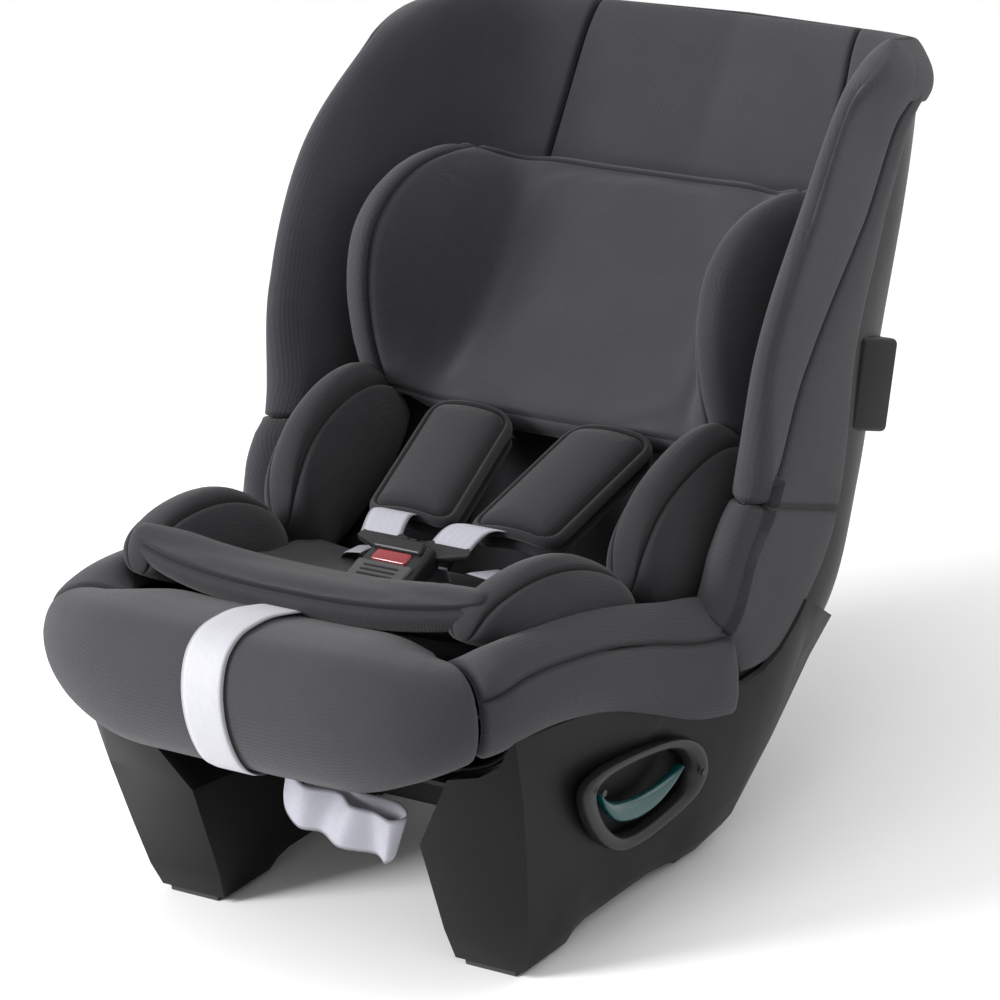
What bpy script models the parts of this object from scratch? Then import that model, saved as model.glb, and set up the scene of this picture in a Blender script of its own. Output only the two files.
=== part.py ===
"""A rear-facing convertible child car seat, standing on its own base.

The bucket (moulded shell, padding and covers) is one mapping: every piece of it is a patch of
(u, v, t) space, where u runs across the bucket from its centre line (0) to its rim (1), v runs along
the spine from the seat's front (0) to the top of the back (1), and t runs from the shell's outer
skin (0) to the face that the child sits on (1). Patches that don't share (u, v, t) can't overlap.
"""

import bisect
import functools
import math

import bmesh
import bpy
from mathutils import Matrix, Vector
from mathutils.geometry import tessellate_polygon

# Driving dimensions, in metres. The seat faces -Y and stands on z = 0.
ORIGIN_Y = 0.1440  # the middle of the seat's depth, measured in the drawing frame below
HALF_WIDTH = 0.2200  # widest half of the seat, across the wings
BACK_ANGLE = math.radians(52.0)  # the back's slope above the horizontal
GAP = 0.0020  # clearance between pieces that touch
SHELL_WALL = 0.0040
STRAP_WIDTH = 0.0360
STRAP_THICK = 0.0024
COVER = 0.0040  # thickness of the textile over the shell's outside
LEG_INNER_X = 0.1000  # inner face of each base side
LEG_OUTER_X = 0.1640  # outer face of each base side at the floor
HEAD_ZERO = Vector((0.0, 0.286, 0.264))  # the back's face at the middle of its lowest headrest rail
PULL = Vector((0.0, 0.95, 0.3122))  # the way in which the tongues leave the buckle

BACK_UP = Vector((0.0, math.cos(BACK_ANGLE), math.sin(BACK_ANGLE)))
BACK_OUT = Vector((0.0, -math.sin(BACK_ANGLE), math.cos(BACK_ANGLE)))
ACROSS = Vector((1.0, 0.0, 0.0))

# Stations of the bucket, from the seat's front to the top of the back. Each holds the outer skin's
# centre (y, z), corner (x, y, z) and rim (x, y, z), then the same three for the inner face, and the
# share u at which the textile cover ends on the outside.
STATIONS = (
    ((-0.160, 0.172), (0.184, -0.152, 0.168), (0.193, -0.135, 0.245),
     (-0.150, 0.212), (0.150, -0.148, 0.212), (0.163, -0.130, 0.257), 0.80),
    ((-0.040, 0.138), (0.180, -0.035, 0.150), (0.203, -0.020, 0.228),
     (-0.035, 0.186), (0.156, -0.030, 0.186), (0.172, -0.018, 0.239), 0.80),
    ((0.070, 0.112), (0.182, 0.085, 0.112), (0.209, 0.060, 0.200),
     (0.065, 0.158), (0.164, 0.070, 0.154), (0.180, 0.056, 0.212), 0.76),
    ((0.190, 0.084), (0.188, 0.215, 0.082), (0.213, 0.098, 0.206),
     (0.155, 0.140), (0.172, 0.165, 0.135), (0.186, 0.094, 0.216), 0.76),
    ((0.300, 0.132), (0.200, 0.305, 0.130), (0.217, 0.118, 0.246),
     (0.225, 0.184), (0.176, 0.225, 0.190), (0.190, 0.112, 0.250), 0.74),
    ((0.368, 0.220), (0.197, 0.362, 0.218), (0.220, 0.146, 0.292),
     (0.286, 0.264), (0.178, 0.280, 0.270), (0.194, 0.138, 0.297), 0.74),
    ((0.425, 0.310), (0.192, 0.412, 0.310), (0.221, 0.155, 0.384),
     (0.348, 0.348), (0.180, 0.338, 0.354), (0.199, 0.160, 0.389), 0.69),
    ((0.474, 0.400), (0.187, 0.455, 0.400), (0.221, 0.210, 0.471),
     (0.410, 0.426), (0.180, 0.392, 0.434), (0.200, 0.216, 0.477), 0.68),
    ((0.500, 0.472), (0.184, 0.476, 0.470), (0.215, 0.288, 0.531),
     (0.456, 0.484), (0.178, 0.430, 0.496), (0.196, 0.292, 0.534), 0.68),
    ((0.508, 0.522), (0.178, 0.480, 0.526), (0.207, 0.364, 0.555),
     (0.482, 0.528), (0.172, 0.454, 0.538), (0.190, 0.364, 0.557), 0.70),
)
LAST = len(STATIONS) - 1
U_KNOTS = (0.0, 0.18, 0.36, 0.43, 0.50, 0.57, 0.64, 0.76, 0.88, 1.0, 1.2, 1.5)
V_KNOTS = tuple(k / 27 for k in range(28))


def clear_scene():
    for obj in list(bpy.data.objects):
        bpy.data.objects.remove(obj)


def material(name, colour, roughness, metallic=0.0):
    made = bpy.data.materials.get(name) or bpy.data.materials.new(name)
    made.use_nodes = True
    shader = made.node_tree.nodes["Principled BSDF"]
    shader.inputs["Base Color"].default_value = (*colour, 1.0)
    shader.inputs["Roughness"].default_value = roughness
    shader.inputs["Metallic"].default_value = metallic
    return made


def materials():
    return {
        "plastic": material("black_plastic", (0.030, 0.030, 0.031), 0.45),
        "trim": material("grey_plastic", (0.060, 0.061, 0.060), 0.40),
        "cover": material("grey_knit", (0.100, 0.098, 0.106), 0.85),
        "insert": material("dark_knit", (0.060, 0.060, 0.066), 0.85),
        "pad": material("chest_pad_knit", (0.055, 0.055, 0.060), 0.80),
        "webbing": material("silver_webbing", (0.480, 0.480, 0.520), 0.55),
        "light_webbing": material("light_webbing", (0.750, 0.750, 0.780), 0.50),
        "teal": material("teal_plastic", (0.000, 0.180, 0.170), 0.35),
        "red": material("red_plastic", (0.520, 0.010, 0.020), 0.30),
        "steel": material("zinc_steel", (0.600, 0.600, 0.610), 0.35, 1.0),
        "rubber": material("foot_rubber", (0.020, 0.020, 0.020), 0.90),
    }


def catmull(a, b, c, d, s):
    """The point a share s of the way from b to c on the smooth curve through a, b, c and d."""
    return 0.5 * (
        2.0 * b + (c - a) * s + (2.0 * a - 5.0 * b + 4.0 * c - d) * s * s + (3.0 * (b - c) + d - a) * s**3
    )


def station_values(v):
    """The stations' numbers at v, as seven vectors, on a smooth curve through the table."""
    place = min(max(v, 0.0), 1.0) * LAST
    i = min(int(place), LAST - 1)
    rows = [STATIONS[min(max(k, 0), LAST)] for k in (i - 1, i, i + 1, i + 2)]
    found = []
    for column in range(7):
        cells = [row[column] for row in rows]
        if column == 6:
            cells = [(c,) for c in cells]
        if column in (0, 3):
            cells = [(0.0, *c) for c in cells]
        size = len(cells[0])
        found.append([catmull(*(c[k] for c in cells), place - i) for k in range(size)])
    return [Vector(f) for f in found[:6]], found[6][0]


def cover_edge(v):
    """The u at which the textile cover ends on the outside of the bucket."""
    return station_values(v)[1]


def half_section(centre, corner, rim, u):
    """A point on a half section: straight from the centre, round the corner, straight to the rim."""
    start, end = centre.lerp(corner, 0.58), corner.lerp(rim, 0.42)
    if u < 0.36:
        return centre.lerp(start, u / 0.36)
    if u > 0.64:
        return end.lerp(rim, (u - 0.64) / 0.36)
    s = (u - 0.36) / 0.28
    return start.lerp(corner, s).lerp(corner.lerp(end, s), s)


@functools.lru_cache(None)
def knot(i, j):
    """The outer and the inner point at the mapping's knot i across and j along."""
    values, _ = station_values(V_KNOTS[j])
    return half_section(*values[:3], U_KNOTS[i]), half_section(*values[3:], U_KNOTS[i])


def cell(knots, value):
    """The knot before a value, and the value's share of the way to the next."""
    i = min(max(bisect.bisect_right(knots, value) - 1, 0), len(knots) - 2)
    return i, (value - knots[i]) / (knots[i + 1] - knots[i])


def bucket(u, v, t):
    """The point of the bucket at (u, v, t). A negative u is the child's right, at -X."""
    i, across = cell(U_KNOTS, abs(u))
    j, along = cell(V_KNOTS, v)
    near, far = knot(i, j), knot(i + 1, j)
    near_up, far_up = knot(i, j + 1), knot(i + 1, j + 1)
    outer = near[0].lerp(far[0], across).lerp(near_up[0].lerp(far_up[0], across), along)
    inner = near[1].lerp(far[1], across).lerp(near_up[1].lerp(far_up[1], across), along)
    point = outer.lerp(inner, t)
    return Vector((math.copysign(point.x, u) if u else 0.0, point.y, point.z))


def u_row(low, high):
    """The knots from low to high, with both ends: what every patch is sampled at."""
    knots = sorted({*U_KNOTS, *(-k for k in U_KNOTS)})
    return [low] + [k for k in knots if low + 0.008 < k < high - 0.008] + [high]


def v_row(low, high):
    return [low] + [k for k in V_KNOTS if low + 0.004 < k < high - 0.004] + [high]


def finish(name, bm, stuff, smooth=40.0):
    """Makes the node's object from a bmesh."""
    bmesh.ops.remove_doubles(bm, verts=bm.verts, dist=1e-6)
    bmesh.ops.recalc_face_normals(bm, faces=bm.faces)
    if bm.calc_volume(signed=True) < 0.0:
        bmesh.ops.reverse_faces(bm, faces=bm.faces)
    mesh = bpy.data.meshes.new(name)
    bm.to_mesh(mesh)
    bm.free()
    mesh.materials.append(stuff)
    if smooth:
        mesh.shade_smooth()
        mesh.set_sharp_from_angle(angle=math.radians(smooth))
    obj = bpy.data.objects.new(name, mesh)
    bpy.context.scene.collection.objects.link(obj)
    return obj



def loft(name, rings, stuff, flat=None, smooth=40.0):
    """A solid skinned through rings of points.

    Its ends are filled as the flat outlines say, or between paired points of a ring's two rows.
    """
    bm = bmesh.new()
    loops = [[bm.verts.new(p) for p in ring] for ring in rings]
    count = len(loops[0])
    for lower, upper in zip(loops, loops[1:]):
        for i in range(count):
            j = (i + 1) % count
            bm.faces.new((lower[i], lower[j], upper[j], upper[i]))
    for which in (0, -1):
        if flat == "paired":
            for i in range(count // 2 - 1):
                bm.faces.new([loops[which][k] for k in (i, i + 1, count - 2 - i, count - 1 - i)])
            continue
        outline = [Vector((*p, 0.0)) for p in flat[which]] if flat else rings[which]
        for corners in tessellate_polygon([outline]):
            bm.faces.new([loops[which][k] for k in corners])
    return finish(name, bm, stuff, smooth)


def between(low, high, count):
    """count numbers, evenly spaced from low to high."""
    return [low + (high - low) * i / (count - 1) for i in range(count)]


def plain_section(u, t):
    """The place of (u, t) in a plain flat section of the bucket, for filling the ends of patches."""
    outer = half_section(Vector((0.0, 0.0)), Vector((1.0, 0.0)), Vector((1.05, 0.80)), abs(u))
    inner = half_section(Vector((0.0, 0.30)), Vector((0.86, 0.30)), Vector((0.90, 0.82)), abs(u))
    point = outer.lerp(inner, t)
    return math.copysign(point.x, u), point.y


def patch(name, outline, v_values, stuff, side=1.0, paired=False):
    """A solid of the bucket: outline(v) gives the (u, t) ring at each v."""
    outlines = [outline(v) for v in v_values]
    rings = [[bucket(side * u, v, t) for u, t in ring] for ring, v in zip(outlines, v_values)]
    flat = "paired" if paired else [[plain_section(u, t) for u, t in ring] for ring in outlines]
    return loft(name, rings, stuff, flat)



def add_modifier(obj, kind, **settings):
    made = obj.modifiers.new(kind.title(), kind)
    for key, value in settings.items():
        setattr(made, key, value)
    return made


def cutter(obj):
    """Hides a helper that only cuts other pieces."""
    obj.hide_render = True
    obj.display_type = "WIRE"
    return obj


def rounded_box(name, size, place, stuff, bevel=0.002, tilt=0.0, segments=2, spin=0.0, yaw=0.0):
    """A block of the size, centred at place, turned by tilt about X, then by yaw about Z."""
    bm = bmesh.new()
    bmesh.ops.create_cube(bm, size=1.0)
    bmesh.ops.scale(bm, vec=size, verts=bm.verts)
    if bevel:
        bmesh.ops.bevel(
            bm, geom=bm.edges, offset=bevel, offset_type="OFFSET", segments=segments, profile=0.5, affect="EDGES"
        )
    obj = finish(name, bm, stuff)
    obj.location = place
    turn = Matrix.Rotation(yaw, 4, "Z") @ Matrix.Rotation(tilt, 4, "X") @ Matrix.Rotation(spin, 4, "Y")
    obj.rotation_euler = turn.to_euler()
    return obj


def cylinder(name, radius, length, place, direction, stuff, sides=16, bevel=0.0):
    """A round bar centred at place along direction."""
    bm = bmesh.new()
    bmesh.ops.create_cone(
        bm, cap_ends=True, cap_tris=False, segments=sides, radius1=radius, radius2=radius, depth=length
    )
    if bevel:
        rims = [e for e in bm.edges if abs(e.verts[0].co.z - e.verts[1].co.z) < 1e-6]
        bmesh.ops.bevel(bm, geom=rims, offset=bevel, offset_type="OFFSET", segments=1, profile=0.5, affect="EDGES")
    obj = finish(name, bm, stuff, 30.0)
    obj.location = place
    obj.rotation_euler = Vector(direction).to_track_quat("Z", "Y").to_euler()
    return obj


def smooth_path(points, count):
    """count points on the smooth curve through the given ones."""
    points = [Vector(p) for p in points]
    found = []
    for place in between(0.0, len(points) - 1.0, count):
        i = min(int(place), len(points) - 2)
        a, b, c, d = (points[min(max(k, 0), len(points) - 1)] for k in (i - 1, i, i + 1, i + 2))
        found.append(catmull(a, b, c, d, place - i))
    return found


def strap(name, points, side, stuff, width=STRAP_WIDTH, thick=STRAP_THICK, count=10):
    """Flat webbing along a smooth path. side runs across the webbing, at the start and at the end."""
    path = smooth_path(points, count)
    first, last = Vector(side[0]), Vector(side[1])
    rings = []
    for i, point in enumerate(path):
        along = (path[min(i + 1, count - 1)] - path[max(i - 1, 0)]).normalized()
        across = first.lerp(last, i / (count - 1))
        across = (across - along * across.dot(along)).normalized() * width / 2
        face = across.cross(along).normalized() * thick / 2
        rings.append([point - across - face, point + across - face, point + across + face, point - across + face])
    return loft(name, rings, stuff, smooth=0.0)


def span(u, v):
    """The distance from the outer skin to the inner face."""
    return max((bucket(u, v, 1.0) - bucket(u, v, 0.0)).length, 0.004)


def skin(u, v, depth):
    """The t that lies depth inside the outer skin."""
    return depth / span(u, v)


def face(u, v, height):
    """The t that lies height above the inner face."""
    return 1.0 + height / span(u, v)


def head_point(x, along, out):
    """A point of the headrest: along the back from its foot, and out from the back's face."""
    return HEAD_ZERO + BACK_UP * along + BACK_OUT * out + ACROSS * x


def mirrored(points):
    """A half outline that starts on the centre line, made whole."""
    return [(-x, y) for x, y in reversed(points[1:])] + list(points)


def make_shell(m):
    def depth(u, v):
        return 0.0 if abs(u) < cover_edge(v) else COVER + GAP

    def outline(v):
        edge = cover_edge(v)
        half = [0.0, 0.18, 0.36, 0.43, 0.50, 0.57, 0.64, edge - 0.012, edge + 0.012, 0.955]
        row = [-u for u in reversed(half[1:])] + half
        low = [(u, skin(u, v, depth(u, v))) for u in row]
        return low + [(u, skin(u, v, depth(u, v) + SHELL_WALL)) for u in reversed(row)]

    patch("seat_shell", outline, v_row(0.014, 0.962), m["plastic"], paired=True)


def side_outline(inside):
    """The ring of a cover that hugs the rim, with its padding inside the shell down to inside."""

    def outline(v):
        edge = cover_edge(v) + 0.022
        under = COVER + GAP * 2 + SHELL_WALL
        over = [(edge, 0.0), (0.5 * (edge + 1.0), 0.0), (0.99, 0.0), (1.025, 0.25), (1.035, 0.5)]
        over += [(1.025, 0.75), (0.99, 1.0)] + [(u, 1.0) for u in reversed(u_row(inside, 0.88))]
        back = [(u, skin(u, v, SHELL_WALL + GAP)) for u in (inside, 0.57, 0.64)]
        back += [(edge - 0.018, skin(edge, v, under)), (0.965, skin(0.965, v, under)), (0.965, skin(0.965, v, COVER))]
        return over + back + [(edge, skin(edge, v, COVER))]

    return outline


def make_covers(m):
    for side, hand in ((1.0, "left"), (-1.0, "right")):
        patch(f"side_cover_{hand}", side_outline(0.502), v_row(0.006, 0.300), m["cover"], side)
        patch(f"hip_cover_{hand}", side_outline(0.502), v_row(0.3070, 0.530), m["cover"], side)
        patch(f"wing_cover_{hand}", side_outline(0.502), v_row(0.5370, 0.950), m["cover"], side)

    def middle(v):
        row = u_row(-0.496, 0.496)
        return [(u, skin(u, v, SHELL_WALL + GAP)) for u in row] + [(u, 1.0) for u in reversed(row)]

    def top(v):
        row = u_row(-1.0, 1.0)
        return [(u, 0.0) for u in row] + [(u, 1.0) for u in reversed(row)]

    patch("seat_cover", middle, v_row(0.006, 0.4125), m["cover"], paired=True)
    patch("lumbar_cover", middle, v_row(0.4175, 0.530), m["cover"], paired=True)
    patch("back_cover", middle, v_row(0.5370, 0.950), m["cover"], paired=True)
    patch("top_cover", top, v_row(0.974, 1.0), m["cover"], paired=True)


def make_lip(m):
    section = ((-0.166, 0.262), (-0.178, 0.270), (-0.197, 0.272), (-0.213, 0.263), (-0.2225, 0.245))
    section += ((-0.2230, 0.222), (-0.218, 0.200), (-0.207, 0.182), (-0.190, 0.170), (-0.172, 0.167))
    section += ((-0.166, 0.175), (-0.166, 0.200), (-0.166, 0.235))
    rings = []
    for x in between(-0.186, 0.186, 17):
        share = abs(x) / 0.186
        back = -0.166 + 0.012 * share**2
        deep = 1.0 - 0.42 * share**3
        tall = 1.0 - 0.46 * share**3
        lift = 0.0065 * share**2
        rings.append([Vector((x, back + (y + 0.166) * deep, 0.2195 + lift + (z - 0.2195) * tall)) for y, z in section])
    loft("front_lip_cover", rings, m["cover"])


def leg_floor(v):
    """Where a base side ends below, as (y, z)."""
    table = ((0.0, -0.108, 0.0046), (0.075, -0.048, 0.0046), (0.10, -0.032, 0.0125), (0.25, 0.078, 0.0125))
    table += ((0.27, 0.098, 0.0046), (0.325, 0.146, 0.0046), (0.36, 0.198, 0.023), (0.405, 0.256, 0.077))
    table += ((0.43, 0.282, 0.104), (1.0, 0.282, 0.104))
    for (v0, y0, z0), (v1, y1, z1) in zip(table, table[1:]):
        if v <= v1:
            share = (v - v0) / (v1 - v0)
            return y0 + (y1 - y0) * share, z0 + (z1 - z0) * share
    return table[-1][1:]


def leg_ring(v, side):
    y, z = leg_floor(v)
    roof = [bucket(u, v, skin(u, v, -0.0022)) for u in (0.43, 0.50, 0.57, 0.64, 0.67, 0.70)]
    top = roof[-1]
    inner = roof[0]
    outside = []
    for share in (0.02, 0.25, 0.5, 0.75, 0.92):
        x = (top.x + 0.0032) * (1.0 - share**1.6) + LEG_OUTER_X * share**1.6
        outside.append(Vector((x, top.y + (y - top.y) * share, top.z + (z - top.z) * share)))
    floor = [Vector((LEG_OUTER_X - 0.004, y, z)), Vector((LEG_INNER_X + 0.003, y, z))]
    inside = [Vector((LEG_INNER_X, inner.y + (y - inner.y) * s, inner.z + (z - inner.z) * s)) for s in (0.85, 0.4)]
    wall = outside + floor + inside
    tail = min(max((v - 0.355) / 0.077, 0.0), 1.0)
    ending = [bucket(u, v, skin(u, v, -0.0085)) for u in (0.70, 0.69, 0.67, 0.655, 0.64, 0.57, 0.50, 0.45, 0.43)]
    wall = [nominal.lerp(end, tail) for nominal, end in zip(wall, ending)]
    return [Vector((side * p.x, p.y, p.z)) for p in roof + wall]


def wall_x(z):
    """The side wall's distance from the middle at the belt guide."""
    return 0.190 + (z - 0.065) * 0.165


def bezel_outline(scale, deep, side):
    """The belt guide's frame outline, scaled about its middle, x deep in the leaning side wall."""
    points = ((-0.073, 0.140), (-0.054, 0.1475), (-0.010, 0.144), (0.040, 0.134), (0.072, 0.119), (0.089, 0.100))
    points += ((0.091, 0.083), (0.074, 0.071), (0.021, 0.065), (-0.018, 0.070), (-0.047, 0.091), (-0.067, 0.118))
    centre = (0.010, 0.107)
    scaled = [(centre[0] + (y - centre[0]) * scale, centre[1] + (z - centre[1]) * scale) for y, z in points]
    return [Vector((side * (wall_x(z) - deep), y, z)) for y, z in scaled]


def make_base(m):
    for side, hand in ((1.0, "left"), (-1.0, "right")):
        rings = [leg_ring(v, side) for v in sorted({*v_row(0.006, 0.432), 0.025, 0.055, 0.092, 0.265})]
        flat = [plain_section(u, -0.03) for u in (0.43, 0.50, 0.57, 0.64, 0.67, 0.70)]
        front = flat + [(1.08, 0.2), (1.07, 0.1), (1.06, 0.0), (1.05, -0.1), (1.0, -0.2), (0.98, -0.3), (0.7, -0.3)]
        front += [(flat[0][0], -0.25), (flat[0][0], -0.1)]
        rear = flat + [plain_section(u, -0.20) for u in (0.70, 0.69, 0.67, 0.655, 0.64, 0.57, 0.50, 0.45, 0.43)]
        leg = loft(f"base_side_{hand}", rings, m["plastic"], [front, rear])
        for name, scale, deep in (("pocket", 1.012, 0.0072), ("recess", 0.80, 0.0165)):
            helper = loft(name, [bezel_outline(scale, deep, side), bezel_outline(scale, -0.030, side)], m["plastic"])
            add_modifier(leg, "BOOLEAN", operation="DIFFERENCE", solver="EXACT", object=cutter(helper))
        bezel = loft(
            f"belt_guide_frame_{hand}",
            [bezel_outline(1.0, 0.0066, side), bezel_outline(1.0, -0.0010, side), bezel_outline(0.96, -0.0030, side)],
            m["plastic"],
        )
        hole = loft("hole", [bezel_outline(0.68, 0.012, side), bezel_outline(0.78, -0.010, side)], m["plastic"])
        add_modifier(bezel, "BOOLEAN", operation="DIFFERENCE", solver="EXACT", object=cutter(hole))
        bar = [(-0.040, 0.120), (-0.026, 0.106), (0.000, 0.094), (0.030, 0.090), (0.052, 0.092)]
        rings = []
        for i, (y, z) in enumerate(bar):
            half = (0.0035, 0.0055, 0.0065, 0.0060, 0.0035)[i]
            ring = ((0.0085, -half), (0.0035, -half), (0.0015, 0.0), (0.0035, half), (0.0085, half))
            rings.append([Vector((side * (wall_x(z) - deep), y + dz * 0.35, z + dz)) for deep, dz in ring])
        loft(f"belt_guide_{hand}", rings, m["teal"])
        for end, (y, z) in (("front", (-0.0555, 0.1330)), ("rear", (0.0795, 0.0920))):
            place = (side * (wall_x(z) + 0.0048), y, z)
            cylinder(f"frame_screw_{end}_{hand}", 0.0028, 0.0022, place, (1.0, 0.0, -0.165 * side), m["steel"], 12, 0.0006)
        for end, (low, high) in (("front", (-0.102, -0.056)), ("rear", (0.102, 0.142))):
            middle = (side * (LEG_INNER_X + LEG_OUTER_X) / 2, (low + high) / 2, 0.0020)
            size = (LEG_OUTER_X - LEG_INNER_X - 0.020, high - low, 0.0040)
            rounded_box(f"foot_{end}_{hand}", size, middle, m["rubber"], 0.0008, segments=1)

        def block(v):
            row = (0.50, 0.57, 0.62)
            return [(u, skin(u, v, -0.0022)) for u in row] + [(u, skin(u, v, -0.014)) for u in reversed(row)]

        patch(f"belt_hook_{hand}", block, v_row(0.600, 0.690), m["trim"], side, True)
    rounded_box("base_bridge", (LEG_INNER_X * 2 - 0.0012, 0.090, 0.022), (0.0, 0.060, 0.062), m["plastic"], 0.004)


def padded_outline(low, high, height, edge=0.4):
    """The ring of a pad that lies on the inner face, low to high in u, with rounded long edges."""

    def outline(v):
        row = u_row(low, high)
        top = []
        for u in row:
            share = min(u - low, high - u) / (high - low) * 2.0
            top.append((u, face(u, v, 0.003 + height(v) * (edge + (1.0 - edge) * min(share * 2.2, 1.0) ** 0.5))))
        return [(u, face(u, v, 0.0030)) for u in row] + list(reversed(top))

    return outline


def make_insert(m):
    def seat_height(v):
        return 0.026 + 0.022 * math.exp(-(((v - 0.078) / 0.032) ** 2))

    seat = padded_outline(-0.57, 0.57, seat_height)
    patch("insert_seat", seat, v_row(0.062, 0.345), m["insert"], paired=True)
    back = padded_outline(-0.52, 0.52, lambda v: 0.022)
    patch("insert_back", back, v_row(0.370, 0.478), m["insert"], paired=True)
    for side, hand in ((1.0, "left"), (-1.0, "right")):

        def thigh(v):
            swell = math.sin(math.pi * min(max((v - 0.050) / 0.285, 0.04), 0.96)) ** 0.5
            ring = ((0.60, 0.004), (0.80, 0.004), (0.98, 0.004), (1.16, 0.006), (1.34, 0.010), (1.42, 0.022))
            ring += ((1.34, 0.036), (1.12, 0.044), (0.90, 0.042), (0.74, 0.038), (0.62, 0.036))
            return [(0.60 + (u - 0.60) * (0.55 + 0.45 * swell), face(u, v, d * (0.5 + 0.5 * swell))) for u, d in ring]

        def torso(v):
            swell = math.sin(math.pi * min(max((v - 0.335) / 0.205, 0.04), 0.96)) ** 0.5
            ring = ((0.57, 0.004), (0.70, 0.004), (0.86, 0.004), (1.00, 0.006), (1.08, 0.012), (1.09, 0.022))
            ring += ((1.02, 0.034), (0.88, 0.042), (0.72, 0.040), (0.60, 0.032))
            return [(0.55 + (u - 0.55) * (0.55 + 0.45 * swell), face(u, v, d * (0.5 + 0.5 * swell))) for u, d in ring]

        patch(f"thigh_bolster_{hand}", thigh, v_row(0.060, 0.320), m["insert"], side)
        patch(f"torso_bolster_{hand}", torso, v_row(0.350, 0.524), m["insert"], side)


def make_headrest(m):
    for side, hand in ((1.0, "left"), (-1.0, "right")):
        corners = ((0.042, 0.0115), (0.054, 0.0115), (0.054, 0.0170), (0.042, 0.0170))
        rings = [[head_point(side * x, a, o) for x, o in corners] for a in (-0.020, 0.275)]
        loft(f"headrest_rail_{hand}", rings, m["steel"], smooth=0.0)
    half = [(0.0, 0.0165), (0.034, 0.0165), (0.036, 0.0125), (0.0407, 0.0125), (0.0407, 0.0185), (0.0553, 0.0185)]
    half += [(0.0553, 0.0125), (0.060, 0.0125), (0.064, 0.0180), (0.085, 0.0200), (0.085, 0.0245)]
    outline = mirrored(half) + [(0.040, 0.0245), (0.0, 0.0245), (-0.040, 0.0245)]
    rings = [[head_point(x, a, o) for x, o in outline] for a in (0.008, 0.090, 0.172)]
    loft("headrest_carrier", rings, m["plastic"], smooth=0.0)
    table = ((-0.034, 0.105, 0.076), (-0.024, 0.124, 0.066), (0.000, 0.142, 0.055), (0.030, 0.152, 0.048))
    table += ((0.065, 0.148, 0.044), (0.100, 0.136, 0.042), (0.135, 0.120, 0.043), (0.165, 0.102, 0.046))
    table += ((0.184, 0.086, 0.048), (0.192, 0.078, 0.050))
    rings = []
    for along, tip, middle in table:
        low = 0.0262 + (0.020 if along < -0.02 else 0.006 if along < 0.005 else 0.0)
        inset = 0.012 if along in (-0.034, 0.192) else 0.0
        half = [(0.0, low), (0.060, low), (0.118, low + 0.001), (0.150 - inset, low + 0.014)]
        half += [(0.168 - inset, 0.068), (0.172 - inset, 0.5 * (tip + 0.068)), (0.168 - inset, tip - 0.004)]
        half += [(0.158 - inset, tip), (0.147 - inset, tip - 0.006), (0.138, 0.5 * (tip + middle + 0.02))]
        half += [(0.120, middle + 0.012), (0.085, middle + 0.003), (0.045, middle)]
        ring = mirrored(half) + [(0.0, middle)]
        rings.append([head_point(x, along, o) for x, o in ring])
    loft("headrest_pad", rings, m["cover"])
    grip = [head_point(0.0, 0.2005, 0.038)]
    tilt = BACK_ANGLE - math.pi / 2
    rounded_box("headrest_lever", (0.078, 0.016, 0.012), grip[0], m["trim"], 0.003, tilt)


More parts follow.
